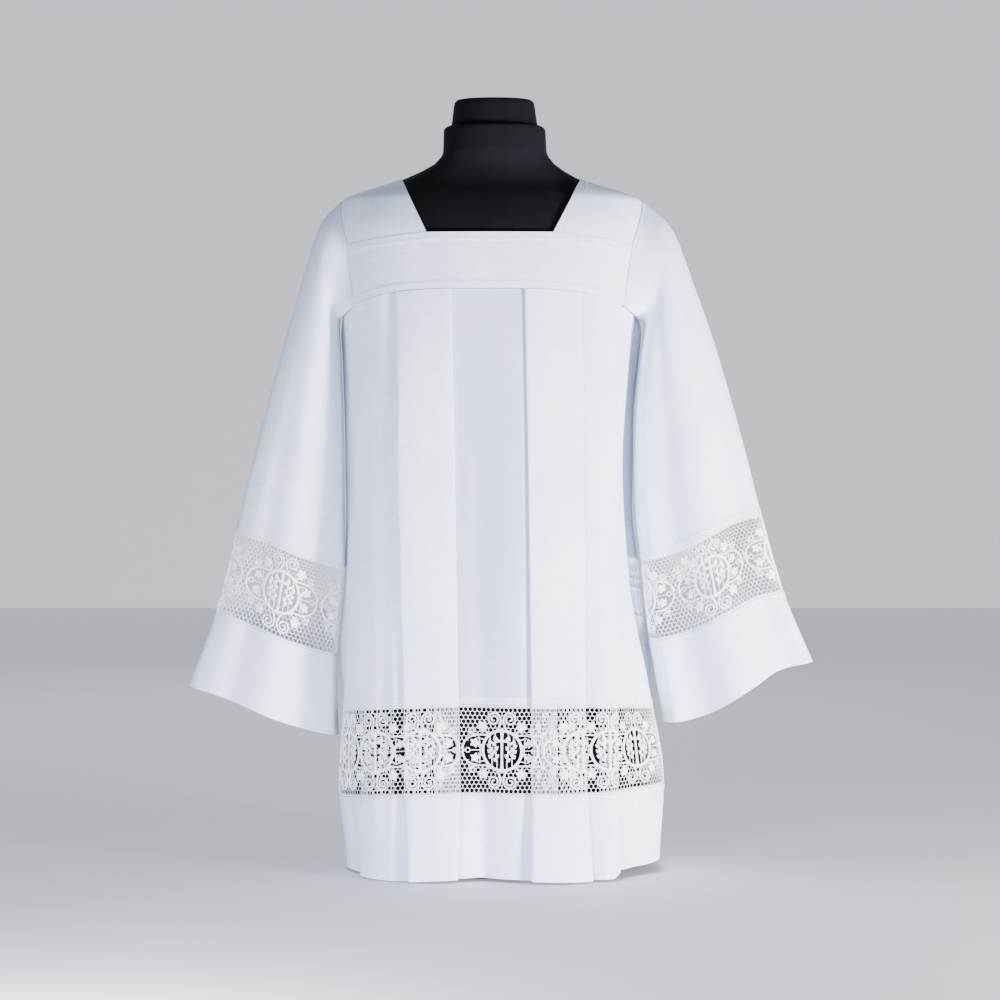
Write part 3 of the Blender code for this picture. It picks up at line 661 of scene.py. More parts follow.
def fold_layers():
    """The layer at each corner of the fold path: 0 is the ground, 2 the top of a pleat."""
    return np.array([0] + [layer for kind, _, _ in PLEATS for _, _, layer in FOLD_PATHS[kind]] + [0])


def corner_angles(z, back):
    """The fold path's corners as angles of the plan, at heights z."""
    side = math.pi / 2 - SIDE_SEAM_TRIM
    angles = [np.full_like(z, -side)]
    for kind, first, second in PLEATS:
        a, b = (np.interp(z, PLEAT_HEIGHTS, edge) for edge in (first, second))
        for share, gap_side, _ in FOLD_PATHS[kind]:
            angles.append(plan_angle(a + share * (b - a) + gap_side * UNDERLAY_GAP, z, back))
    angles.append(np.full_like(z, side))
    return np.array(angles)


def path_angles(columns, z, back):
    """Each column's angle at heights z, which has a row for each height and a column for each column."""
    corners = corner_angles(z, back)
    start = np.minimum(columns.astype(int), len(corners) - 2)
    across = np.arange(len(columns))
    first, second = corners[start, :, across].T, corners[start + 1, :, across].T
    return first + (columns - start) * (second - first)


def soft_folds(table, place, down, top_share, foot_share):
    """The height of a table's troughs and ridges at places across and down a cloth."""
    total = 0.0
    for at_top, at_foot, wide_top, wide_foot, high_top, high_foot in table:
        middle = at_top + (at_foot - at_top) * down
        wide = wide_top + (wide_foot - wide_top) * down
        high = high_top * top_share + (high_foot - high_top) * foot_share
        total = total + high * np.exp(-(((place - middle) / wide) ** 2))
    return total


def drape(x, z, back):
    """How far the body's troughs, ridges and leaning panels stand out at a place."""
    down = np.clip((YOKE_BOTTOM - z) / (YOKE_BOTTOM - HEM), 0, 1)
    onset = np.minimum(1, DRAPE_ONSET * down)
    panels, hem_leans = (PANELS_BACK, HEM_LEANS_BACK) if back else (PANELS_FRONT, HEM_LEANS_FRONT)
    share = np.clip((down - HEM_LEANS_FROM) / (HEM_LEANS_TO - HEM_LEANS_FROM), 0, 1)
    leans = (1 - share) * np.interp(x, *zip(*panels)) + share * np.interp(x, *zip(*hem_leans))
    folds = soft_folds(DRAPE_BACK if back else DRAPE_FRONT, x, down, onset, down**DRAPE_GROWTH)
    centre, reach, _ = plan_sizes(z, back)
    inside = 1 - np.abs(x - centre) / reach
    return (onset * leans + folds) * np.clip(inside / SIDE_FADE, 0, 1)


def body_points(columns, z, back):
    angle = path_angles(columns, z, back)
    layers = np.interp(columns, np.arange(len(fold_layers())), fold_layers())
    lift = layers * np.interp(z, PLEAT_HEIGHTS, PLEAT_LIFTS) + BODY_LIFT
    flat = plan_points(angle, z, back)
    points = plan_points(angle, z, back, lift + drape(flat[..., 0], z, back))
    for _ in range(FOLD_SOFTENING):
        points[:, 1:-1] = (points[:, :-2] + 2 * points[:, 1:-1] + points[:, 2:]) / 4
    return points


def path_columns():
    """Every corner of the fold path, and even steps between them."""
    corners = np.arange(len(fold_layers()), dtype=float)
    z = np.full((1, len(corners)), LACE_TOP)
    lift = fold_layers() * PLEAT_LIFTS[0]
    steps = lengths_of(plan_points(path_angles(corners, z, False), z, False, lift)[0])
    columns = []
    for k, length in enumerate(np.diff(steps)):
        count = max(LEAST_COLUMNS, round(length / COLUMN_SPACING))
        columns += [k + step / count for step in range(count)]
    return np.array(columns + [corners[-1]])


def edge_heights(edge, angle):
    right, middle, left = BODY_EDGES[edge]
    side = np.where(angle > 0, left, right)
    return middle + (side - middle) * np.abs(np.sin(angle)) ** EDGE_POWER


def yoke_bottom(angle):
    """Straight between the solid yoke's columns."""
    step = 2 * ARMHOLE_ANGLE / YOKE_STEPS
    low = np.floor(angle / step)
    drops = (YOKE_DROP * np.abs(np.sin(k * step)) ** YOKE_DROP_POWER for k in (low, low + 1))
    first, second = (YOKE_BOTTOM - drop for drop in drops)
    return first + (angle / step - low) * (second - first)


def body_cloth(columns, back, top, bottom, rows, along=None):
    angle = path_angles(columns, np.full((1, len(columns)), LACE_TOP), back)[0]
    low = edge_heights(bottom, angle)
    if top == "yoke":
        high = np.full(len(columns), YOKE_BOTTOM)
        for _ in range(YOKE_FITS):
            high = yoke_bottom(path_angles(columns, high[None], back)[0])
        high = high - SEAM_GAP
    else:
        high = edge_heights(top, angle) - SEAM_GAP / 2
    if bottom == "hem":
        x = plan_points(angle, np.full(len(columns), HEM), back)[..., 0]
        low = low + np.interp(x, *zip(*(HEM_LINE_BACK if back else HEM_LINE_FRONT)))
    else:
        low = low + SEAM_GAP / 2
    shares = np.linspace(0, 1, rows)[:, None]
    z = low + shares * (high - low)
    up = None if along is None else (shares[:, 0] - 0.5) * LACE_HEIGHT
    return Cloth(body_points(columns, z, back), along, up)


def lace_places(columns):
    """Each column's place in the lace's pattern: true to size where it shows, taken up under the pleats."""
    z = np.full((1, len(columns)), (LACE_TOP + LACE_BOTTOM) / 2)
    points = body_points(columns, z, False)[0]
    lengths = lengths_of(points)
    known, pattern = [], []
    for first, last, x, number in LACE_SHOWN:
        shown = (columns >= first) & (columns <= last)
        middle = np.interp(x, points[shown, 0], lengths[shown])
        for end in (first, last):
            at = np.interp(end, columns, lengths)
            known.append(at)
            pattern.append(number * LACE_REPEAT + at - middle)
    return np.interp(lengths, known, pattern)


# ---------------- the yoke and shoulders


def yoke_cloth(back):
    angle = np.linspace(-ARMHOLE_ANGLE, ARMHOLE_ANGLE, YOKE_COLUMNS)
    share = np.maximum(0.0, (np.abs(angle) - NECK_ANGLE) / (ARMHOLE_ANGLE - NECK_ANGLE))
    neck = YOKE_TOP + (BACK_NECK_RISE if back else 0.0)
    high = neck + share * (ARMHOLE_CORNER - neck)
    low = yoke_bottom(angle) + SEAM_GAP / 2
    up = np.linspace(0, 1, YOKE_ROWS)[:, None]
    z = low + up * (high - low)
    turned = np.broadcast_to(math.pi - angle if back else angle, z.shape)
    cloth = Cloth(torso_points(turned, z))
    edge = np.minimum(up, 1 - up) * (high - low)
    rise = YOKE_STRIP_RISE * np.clip((YOKE_STRIP + YOKE_STRIP_SLOPE - edge) / YOKE_STRIP_SLOPE, 0, 1)
    return cloth.moved_out(rise)


def shoulder_edge_height(along):
    arch = np.maximum(np.sin(np.pi * along), 0) ** SHOULDER_EDGE_POWER
    return ARMHOLE_CORNER + (ARMHOLE_TOP - ARMHOLE_CORNER) * arch


def neck_place(side, along):
    """The torso's angle and height at the neck's edge, which is straight, seen from the front."""
    low = YOKE_TOP + np.where(along > 0.5, BACK_NECK_RISE, 0.0)
    share = 4 * along * (1 - along)
    z = low + share * (NECK_TOP - low)
    (corner, corner_reach, _), (top, top_reach, _), (here, here_reach, _) = (
        plan_sizes(height, False) for height in (low, np.full_like(low, NECK_TOP), z)
    )
    start = side * corner + corner_reach * math.sin(NECK_ANGLE) ** (2 / TORSO_POWER)
    across = (start + share * (side * top + top_reach - start) - side * here) / here_reach
    angle = np.arcsin(np.minimum(1.0, across) ** (TORSO_POWER / 2))
    return np.where(along > 0.5, math.pi - angle, angle), z


def shoulder_cloth(side):
    """Rows run from the neck out, and columns from the front to the back."""
    steps = np.linspace(0, 1, SHOULDER_COLUMNS)
    along = 0.5 - 0.5 * np.cos(np.pi * steps)
    out = np.linspace(0, 1, SHOULDER_ROWS)[:, None]
    neck_angle, neck_z = neck_place(side, steps)
    arm_angle = ARMHOLE_ANGLE + along * (math.pi - 2 * ARMHOLE_ANGLE)
    angle = neck_angle + out * (arm_angle - neck_angle)
    z = neck_z + out * (shoulder_edge_height(along) - neck_z) + 2 * SEAM_GAP
    return Cloth(torso_points(side * angle, z))


# ---------------- the sleeves


def armhole_ring(side, angle):
    """The sleeve's first ring, lapped over the armhole's edge. Angle 0 is its top, 90 degrees its front."""
    turned = np.abs((angle + math.pi) % (2 * math.pi) - math.pi)
    along = np.clip(0.5 - 0.5 * turned / ARMHOLE_UPPER_TURN, 0, 1)
    down = np.clip((turned - ARMHOLE_UPPER_TURN) / (ARMHOLE_LOWER_TURN - ARMHOLE_UPPER_TURN), 0, 1)
    under = np.clip((turned - ARMHOLE_LOWER_TURN) / (math.pi - ARMHOLE_LOWER_TURN), 0, 1)
    upper, lower = turned < ARMHOLE_UPPER_TURN, turned >= ARMHOLE_LOWER_TURN
    place = np.where(upper, ARMHOLE_ANGLE + along * (math.pi - 2 * ARMHOLE_ANGLE), ARMHOLE_ANGLE)
    place = np.where(lower, ARMHOLE_ANGLE + under * (math.pi / 2 - ARMHOLE_ANGLE), place)
    foot = float(yoke_bottom(np.array(ARMHOLE_ANGLE))) + UNDERARM_LIFT
    z = np.where(upper, shoulder_edge_height(along), ARMHOLE_CORNER + down * (foot - ARMHOLE_CORNER))
    z = np.where(lower, yoke_bottom(place) + UNDERARM_LIFT, z) + ARMHOLE_LAP * np.cos(turned)
    place = place - ARMHOLE_LAP_TURN * np.sin(turned)
    place = np.where(np.sin(angle) < 0, math.pi - place, place)
    return torso_points(side * place, z, YOKE_LIFT + ARMHOLE_LAP_RISE)


def sleeve_ring(row, angle, fall):
    """Outer edge at angle 0, front at 90 degrees, inner edge at 180. fall is 0 to 1 down the arm."""
    outer_x, outer_z, inner_x, inner_z, half_depth, sway = row
    outer, inner = np.array((outer_x, 0.0, outer_z)), np.array((inner_x, 0.0, inner_z))
    share = (1 - signed_power(np.cos(angle), 2 / SLEEVE_POWER)) / 2
    out = signed_power(np.sin(angle), 2 / SLEEVE_POWER)
    fold = sum(high * np.exp(-(((share - at) / wide) ** 2)) for at, wide, high in SLEEVE_FOLDS)
    points = outer + (inner - outer) * share[:, None]
    points[:, 1] = -half_depth * out - np.sign(out) * fold * fall * np.abs(out) ** FOLD_FADE
    points[:, 2] += sway * np.sin(2 * math.pi * share)
    return points


def smooth_between(rings, t):
    """Rings at places t between the given ones, on smooth curves through them."""
    ext = np.concatenate([2 * rings[:1] - rings[1:2], rings, 2 * rings[-1:] - rings[-2:-1]])
    k = np.clip(t.astype(int), 0, len(rings) - 2)
    s = (t - k)[:, None, None]
    before, first, second, after = ext[k], ext[k + 1], ext[k + 2], ext[k + 3]
    bend = 2 * before - 5 * first + 4 * second - after
    return first + 0.5 * s * (second - before + s * (bend + s * (3 * (first - second) + after - before)))


class Sleeve:
    """One sleeve's rings, from the armhole, 0, to the cuff's edge, 8."""

    def __init__(self, side, table, creases):
        self.angles = np.linspace(-math.pi, math.pi, SLEEVE_COLUMNS + 1)
        last = len(table) - 1
        rings = [armhole_ring(side, self.angles)]
        rings += [sleeve_ring(row, self.angles, (k / last) ** FOLD_GROWTH) for k, row in enumerate(table)]
        self.rings = np.array(rings)
        self.creases = creases

    def cloth(self, start, end, rows):
        """The sheet between two places down the sleeve. Rows run up from its lower end."""
        t = np.linspace(end, start, rows)
        plain = Cloth(smooth_between(self.rings, t), closed=True)
        down = (t / (len(self.rings) - 1))[:, None]
        onset = np.minimum(1, CREASE_ONSET * down)
        place = (self.angles / (2 * math.pi)) % 1.0
        return plain.moved_out(soft_folds(self.creases, place, down, onset, onset * down**CREASE_GROWTH))


def half_sleeve(cloth, half):
    """The front or back half of a band round a sleeve, with its places measured from its own middle."""
    middle = cloth.points.shape[1] // 2
    part = slice(middle, None) if half == "front" else slice(0, middle + 1)
    up = np.linspace(-0.5, 0.5, len(cloth.points)) * LACE_HEIGHT
    made = Cloth(cloth.points[:, part], None, up)
    made.normals, made.flipped = cloth.normals[:, part], cloth.flipped
    return made


# ---------------- the lace


def level(along, up):
    """A level line of (along, up)."""
    return stacked(along, np.full_like(along, up))


def circle(centre, radius, steps):
    return polar(centre, 2 * math.pi * np.arange(steps) / steps, radius)


def spiral(centre, radius, start, turns, side, steps):
    """A curl that winds in from its outer radius. side is 1 where it turns to the left."""
    share = np.linspace(0, 1, steps)
    turn = start + side * 2 * math.pi * turns * share
    return polar(centre, turn, radius * (1 - share) ** CURL_POWER + CURL_EYE)


def curve(*points, steps):
    """A smooth line through a few points."""
    t = np.linspace(0, len(points) - 1, steps)
    return smooth_between(np.array(points, float)[:, None], t)[:, 0]


def scroll():
    """A volute on the ring: a stem from the ring, and the curl at its end."""
    curl = spiral(SCROLL_CENTRE, SCROLL_RADIUS, math.pi, SCROLL_TURNS, -1, SCROLL_STEPS)
    return np.concatenate([curve(*SCROLL_STEM, steps=SCROLL_STEM_STEPS), curl])


def vine_curl():
    curl = spiral(CURL_CENTRE, CURL_RADIUS, -math.pi / 2, CURL_TURNS, 1, CURL_STEPS)
    return np.concatenate([curve(*CURL_STEM, steps=CURL_STEM_STEPS), curl])


def vine_loop():
    """The bow of vine beside the ring."""
    turn = np.linspace(LOOP_TURN, -LOOP_TURN, LOOP_STEPS)
    x = LOOP_START + (LOOP_REACH - LOOP_START) * signed_power(np.cos(turn), LOOP_POWER)
    y = LOOP_HALF_HEIGHT * signed_power(np.sin(turn), LOOP_POWER)
    end = curve(*LOOP_END, steps=LOOP_END_STEPS)
    return np.concatenate([end, stacked(x, y), end[::-1] * (1, -1)])


def medallion():
    """One repeat's ornament."""
    drawing = Drawing()
    drawing.bar(circle((0, 0), RING_RADIUS, RING_STEPS), RING_WIDTH, RING_THICK, ring=True)
    add_cross(drawing)
    for across in (-1, 1):
        for x, half_height in SPRIGS:
            add_sprig(drawing, across, x, half_height)
    for across in (-1, 1):
        for up in (-1, 1):
            add_corner(drawing, np.array((across, up)))
        add_bow(drawing, across)
    return drawing


def add_cross(drawing):
    """A plain cross that joins the ring at its top and foot."""
    reach = RING_RADIUS - RING_WIDTH / 4
    upright = np.linspace(-reach, reach, UPRIGHT_STEPS)
    ends = (0, reach * UPRIGHT_PLAIN, reach)
    widths = np.interp(np.abs(upright), ends, (UPRIGHT_WIDTH, UPRIGHT_WIDTH, UPRIGHT_END))
    drawing.bar(stacked(0 * upright, upright), widths, CROSS_THICK)
    arm = np.linspace(-CROSS_ARM, CROSS_ARM, ARM_STEPS)
    widths = np.interp(np.abs(arm), (0, CROSS_ARM), (ARM_WIDTH, ARM_END))
    drawing.bar(level(arm, CROSS_ARM_HEIGHT), widths, CROSS_THICK)


def add_sprig(drawing, side, x, half_height):
    """A branch beside the cross, which bends away from it and is tied to the ring at both ends."""

    def on_branch(share):
        return side * (x + SPRIG_BEND * (share + 1) * (SPRIG_CURVE - share) / 4), half_height * share

    drawing.bar([on_branch(share) for share in SPRIG_STEPS], *SPRIG_BAR)
    drawing.leaf(on_branch(1.0), SPRIG_LEAF, math.pi / 2 - side * SPRIG_TIP_TURN, SPRIG_LOBES)
    for share, out in SPRIG_LEAVES:
        leaf_x, leaf_y = on_branch(share)
        centre = leaf_x + side * SPRIG_LEAF_OUT * out, leaf_y
        turn = math.pi / 2 - side * SPRIG_LEAF_TURN * out
        drawing.leaf(centre, SPRIG_SIDE_LEAF, turn, SPRIG_LOBES)
    ties = []
    for share in (-1.0, 1.0):
        end_x, end_y = on_branch(share)
        ties.append((end_x, end_y, end_x, share * math.sqrt((RING_RADIUS - SPRIG_TIE_INSET) ** 2 - end_x**2)))
    drawing.threads(ties, *SPRIG_TIE)


def add_corner(drawing, flip):
    """One quarter's volute, curl and outer leaf."""
    drawing.bar(scroll() * flip, *VINE_BAR)
    drawing.bar(vine_curl() * flip, *CURL_BAR)
    x, y, size = LEAF_OUTER
    way_x, way_y = flip * OUTER_WAY
    drawing.leaf(flip * (x, y), size, math.atan2(way_y, way_x))
    drawing.bar(curve(flip * OUTER_STEM, flip * (x, y), steps=OUTER_STEM_STEPS), *STEM_BAR)


def add_bow(drawing, across):
    """One side's bow of vine, with its inner leaves, its flower and the brides that tie them."""
    flip = np.array((across, 1.0))
    drawing.bar(vine_loop() * flip, *VINE_BAR)
    for x, y, size in LEAVES_INNER:
        drawing.leaf(flip * (x, y), size, math.atan2(y, across * INNER_WAY_X))
        stem = curve(flip * (INNER_STEM_X, y * INNER_STEM_RISE), flip * (x, y), steps=INNER_STEM_STEPS)
        drawing.bar(stem, *INNER_STEM_BAR)
    brides = [(x, up * y, far_x, up * far_y) for x, y, far_x, far_y in BRIDES for up in (-1, 1)]
    drawing.threads(np.array(brides) * (across, 1, across, 1), *BRIDE)
    x, y, size = FLOWER
    drawing.bar(circle(flip * (x, y), size, FLOWER_STEPS), *FLOWER_BAR, ring=True)
    ties = np.array([(x + size, y, LOOP_REACH, y), (LOOP_START, y, x - size, y)])
    drawing.threads(ties * (across, 1, across, 1), *BRIDE)


def under_ornament(x, y):
    """Whether a place of one repeat lies in the open ground that the ornament fills."""
    x, y = np.abs((x + LACE_REPEAT / 2) % LACE_REPEAT - LACE_REPEAT / 2), np.abs(y)
    ring = np.hypot(x, y) < RING_RADIUS
    scrolls = np.hypot(x - SCROLL_CENTRE[0], y - SCROLL_CENTRE[1]) < SCROLL_RADIUS + GROUND_MARGIN
    share = np.maximum((x - LOOP_START) / (LOOP_REACH - LOOP_START), 0)
    bow = share**GROUND_POWER + (y / LOOP_HALF_HEIGHT) ** GROUND_POWER < 1
    leaves = np.hypot(x - LEAF_OUTER[0], y - LEAF_OUTER[1]) < LEAF_OUTER[2] * GROUND_LEAF
    return ring | scrolls | bow | leaves


def net_threads(first, last):
    """The threads of the hexagonal net between two places along the lace, as (x0, y0, x1, y1)."""
    pitch = LACE_REPEAT / NET_CELLS
    rows = 2 * round(NET_TOP / NET_ROW) + 1
    point = NET_ROW / 3
    low, high = math.floor(first / pitch) - 1, math.ceil(last / pitch) + 1
    threads = []
    for row in range(rows):
        y = (row - rows // 2) * NET_ROW
        x = (np.arange(low, high) + (row % 2) / 2) * pitch
        foot = y - (NET_ROW - point) / 2 if row else -(LACE_HEIGHT - EDGE_WIDTH) / 2
        top = y + (NET_ROW - point) / 2 if row < rows - 1 else (LACE_HEIGHT - EDGE_WIDTH) / 2
        foot, top, over = (np.full_like(x, height) for height in (foot, top, top + point))
        threads.append(stacked(x, foot, x, top))
        if row < rows - 1:
            threads.append(stacked(x, top, x - pitch / 2, over))
            threads.append(stacked(x, top, x + pitch / 2, over))
    threads = np.concatenate(threads)
    hidden = under_ornament(threads[:, 0], threads[:, 1]) & under_ornament(threads[:, 2], threads[:, 3])
    return threads[~hidden]


def lace_drawing(cloth):
    """A band's net, its medallions and its two woven edges."""
    first, last = cloth.along[0], cloth.along[-1]
    drawing = Drawing()
    drawing.threads(net_threads(first, last), *NET_THREAD)
    ornament = medallion()
    for number in range(math.floor(first / LACE_REPEAT), math.ceil(last / LACE_REPEAT) + 1):
        drawing.add_moved(ornament, number * LACE_REPEAT)
    for up in (-1, 1):
        edge = level(np.arange(first + EDGE_INSET, last, EDGE_STEP), up * (LACE_HEIGHT - EDGE_WIDTH) / 2)
        drawing.bar(edge, EDGE_WIDTH, EDGE_THICK, sides=4)
    return drawing


# ---------------- materials


def node(tree, kind, values=(), **settings):
    """A node with its settings, and its inputs set or linked by number or name."""
    made = tree.nodes.new(kind)
    for key, value in settings.items():
        setattr(made, key, value)
    for key, value in dict(values).items():
        if isinstance(value, bpy.types.NodeSocket):
            tree.links.new(value, made.inputs[key])
        else:
            made.inputs[key].default_value = value
    return made


def computed(tree, operation, *values):
    return node(tree, "ShaderNodeMath", dict(enumerate(values)), operation=operation).outputs[0]


def ramped(tree, value, low, high):
    """A value's share of the way from low to high."""
    return node(tree, "ShaderNodeMapRange", {0: value, 1: low, 2: high}).outputs[0]


def scaled_places(tree, along, up):
    """The surface's place on its cloth, times a scale each way."""
    places = node(tree, "ShaderNodeUVMap", uv_map="places")
    values = {0: places.outputs[0], 1: (along, up, 1.0)}
    return node(tree, "ShaderNodeVectorMath", values, operation="MULTIPLY").outputs[0]


def mixed(tree, share, first, second, blend="MIX"):
    """Two colours mixed by a share. The node's colours are its inputs 6 and 7 and its output 2."""
    values = {0: share, 6: first, 7: second}
    return node(tree, "ShaderNodeMix", values, data_type="RGBA", blend_type=blend).outputs[2]


def weave(tree, pitch_along, pitch_up):
    """The height of a plain weave, from the thread pitches in metres."""
    turns = scaled_places(tree, 2 * math.pi / pitch_along, 2 * math.pi / pitch_up)
    split = node(tree, "ShaderNodeSeparateXYZ", {0: turns})
    return computed(tree, "MULTIPLY", *(computed(tree, "SINE", split.outputs[axis]) for axis in (0, 1)))


def slubs(tree, along, up, detail):
    """Noise drawn out along the threads, from its scales each way in cycles a metre."""
    values = {"Vector": scaled_places(tree, along, up), "Scale": 1.0, "Detail": detail}
    return node(tree, "ShaderNodeTexNoise", values, noise_dimensions="2D").outputs[0]


def new_material(name, constants):
    """A material, its node tree and its shader, with the constants set on the shader's own sockets."""
    made = bpy.data.materials.new(name)
    made.use_nodes = True
    shader = made.node_tree.nodes["Principled BSDF"]
    for socket, value in constants.items():
        shader.inputs[socket].default_value = value
    return made, made.node_tree, shader


def fabric(name, roughness, pitch, dark, light, sheen=0.1, gloss=0.3, weave_depth=0.00012,
           form_and_shade_tint=None, eyelets=None):
    """A woven or knitted fabric: two close shades in soft clouds and slubs, and the weave."""
    constants = {"Roughness": roughness, "Specular IOR Level": gloss}
    constants |= {"Sheen Weight": sheen, "Sheen Roughness": SHEEN_ROUGHNESS}
    made, tree, shader = new_material(name, constants)
    streaks = slubs(tree, *SLUB_SCALE)
    shade = computed(tree, "MULTIPLY", slubs(tree, *CLOUD_SCALE), streaks)
    colour = mixed(tree, ramped(tree, shade, SHADE_LOW, SHADE_HIGH), dark, light)
    if eyelets:
        holes = ramped(tree, weave(tree, *eyelets), EYELET_EDGE, EYELET_MIDDLE)
        colour = mixed(tree, holes, colour, EYELET_TINT, "MULTIPLY")
    # Greyer on the single layers: the dark form showing through, and painted shade.
    if form_and_shade_tint:
        sheer_and_shade = node(tree, "ShaderNodeAttribute", attribute_name="sheer_and_shade")
        colour = mixed(tree, sheer_and_shade.outputs["Fac"], colour, form_and_shade_tint, "MULTIPLY")
    tree.links.new(colour, shader.inputs["Base Color"])
    values = {"Height": weave(tree, *pitch), "Strength": BUMP_STRENGTH, "Distance": weave_depth}
    threads = node(tree, "ShaderNodeBump", values).outputs[0]
    values = {"Height": streaks, "Strength": BUMP_STRENGTH, "Distance": SLUB_DEPTH, "Normal": threads}
    tree.links.new(node(tree, "ShaderNodeBump", values).outputs[0], shader.inputs["Normal"])
    return made


# ---------------- pieces


def place(made, slot, *nodes):
    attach(made, "root")
    if nodes:
        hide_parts(*nodes)
    return made


def stitch_row(line):
    """Short stitches along a line of (along, up)."""
    lengths = lengths_of(line)
    starts = np.arange(STITCH_PITCH, lengths[-1] - STITCH_PITCH, STITCH_PITCH)
    ends = (starts, starts + STITCH_LENGTH)
    return np.stack([np.interp(end, lengths, line[:, axis]) for end in ends for axis in (0, 1)], axis=-1)


def stitches(name, cloth, rows, thread, rise):
    drawing = Drawing()
    for row in rows:
        drawing.threads(row, STITCH_THICK, STITCH_THICK, rise, capped=True)
    return place(laid(name, drawing, cloth, thread), "cloth")


def area_of(made):
    """Half the surface of a shell, which is the cloth's own area."""
    return sum(polygon.area for polygon in made.data.polygons) / 2


def plain_piece(replaced, cloth, skins):
    """The plain cloth that stands for one solid."""
    return place(shell(replaced + "_cloth", cloth, skins["cloth"]), "cloth", replaced)


def headed_piece(replaced, cloth, at_top, skins):
    """The plain cloth that stands for one solid, and the woven edge of the lace laid over it."""
    made = plain_piece(replaced, cloth, skins)
    top = cloth.up[-1]
    low, high = (top - HEADING_WIDTH, top - HEADING_INSET) if at_top else (HEADING_INSET, HEADING_WIDTH)
    strip = cloth.strip(low, high, HEADING_ROWS, HEADING_OUT)
    return made, place(shell(replaced + "_heading", strip, skins["heading"], HEADING_THICK), "lace")


def lace(replaced, band, skins):
    made = place(laid(replaced + "_net", lace_drawing(band), band, skins["lace"]), "lace", replaced)


def mark_sheer_and_shade(panel, columns, stretches):
    """Store how far the single layers are greyed: the dark form showing through, and painted shade."""
    share = np.zeros(len(columns))
    for corner, amount in stretches:
        share[(columns >= corner) & (columns <= corner + 1)] = amount
    mark = panel.data.attributes.new("sheer_and_shade", "FLOAT", "POINT")
    mark.data.foreach_set("value", np.tile(share, len(panel.data.vertices) // len(columns)))


def body(skins):
    columns = path_columns()
    for back, end, sheer_and_shade in ((False, "front", SHEER_AND_SHADE_FRONT), (True, "back", SHEER_AND_SHADE_BACK)):
        upper = body_cloth(columns, back, "yoke", "lace_top", BODY_ROWS)
        width = upper.size()[0]
        panel, edge = headed_piece("body_" + end, upper, False, skins)
        # The single stretches' grey: the form showing through, and painted shade.
        mark_sheer_and_shade(panel, columns, sheer_and_shade)
        hem = body_cloth(columns, back, "lace_bottom", "hem", HEM_ROWS)
        border, edge = headed_piece("hem_" + end, hem, True, skins)
        band = body_cloth(columns, back, "lace_top", "lace_bottom", LACE_ROWS, lace_places(columns))
        lace("lace_" + end, band, skins)


def yoke_stitches(cloth, end):
    """The stitch row just inside the yoke's lower edge, -1, or upper edge, 1."""
    heights = np.linalg.norm(cloth.points[-1] - cloth.points[0], axis=1)
    share = YOKE_STITCH_INSET / heights if end < 0 else 1 - YOKE_STITCH_INSET / heights
    return stitch_row(stacked(cloth.along, share * cloth.up[-1]))


def yoke_and_shoulders(skins):
    for back, end in ((False, "front"), (True, "back")):
        cloth = yoke_cloth(back)
        made = plain_piece("yoke_" + end, cloth, skins)
        rows = [yoke_stitches(cloth, edge) for edge in (-1, 1)]
        rise = YOKE_STRIP_RISE / 2 + CLOTH_WALL / 2
        sewn = stitches(f"yoke_{end}_stitches", cloth, rows, skins["thread"], rise)
        cloth.size()
    for name, side in (("right", -1), ("left", 1)):
        cloth = shoulder_cloth(side)
        made = plain_piece("shoulder_" + name, cloth, skins)
        row = stitch_row(level(cloth.along, NECK_STITCH_INSET))
        sewn = stitches(f"shoulder_{name}_stitches", cloth, [row], skins["thread"], CLOTH_WALL / 2)
        area = min(area_of(made), math.prod(cloth.size()))
        cloth.size()


def sleeves(skins):
    for name, side, table, creases in SLEEVES:
        sleeve = Sleeve(side, table, creases)
        upper = sleeve.cloth(0.0, SLEEVE_LACE_TOP - SLEEVE_SEAM, SLEEVE_ROWS)
        made, edge = headed_piece("sleeve_" + name, upper, False, skins)
        declare_tube(upper, [edge, armhole_seam(name, upper, skins["cloth"])])
        cuff = sleeve.cloth(SLEEVE_LACE_BOTTOM + SLEEVE_SEAM, len(table), CUFF_ROWS)
        made, edge = headed_piece("cuff_" + name, cuff, True, skins)
        declare_tube(cuff, [edge])
        band = sleeve.cloth(SLEEVE_LACE_TOP, SLEEVE_LACE_BOTTOM, LACE_ROWS)
        for half in ("front", "back"):
            part = half_sleeve(band, half)
            flat = part.size()[0], LACE_HEIGHT
            lace(f"sleeve_lace_{name}_{half}", part, skins)


def declare_tube(cloth, on_it):
    """Measures a sleeve's length, the longest of every so many of its columns, and does nothing more."""
    length = max(lengths_of(column)[-1] for column in cloth.points[:, ::LENGTH_STEP].swapaxes(0, 1))


def armhole_seam(name, cloth, skin):
    """The turned edge of the armhole seam, as a slim cord round it."""
    drawing = Drawing()
    drawing.bar(level(cloth.along, cloth.up[-1] - SEAM_CORD), SEAM_CORD, SEAM_CORD_THICK, rise=CLOTH_WALL / 2)
    return place(laid(f"sleeve_{name}_seam", drawing, cloth, skin), "cloth")


def form_table():
    """The form's own rows at its foot and neck, and between them the torso's, set in from the cloth."""
    inset = np.array((0, 1, -1, -1, -1)) * FORM_CLEARANCE
    return (*FORM_LOWER, *(TORSO[FORM_COVERED_FROM:] + inset).tolist(), *FORM_NECK)


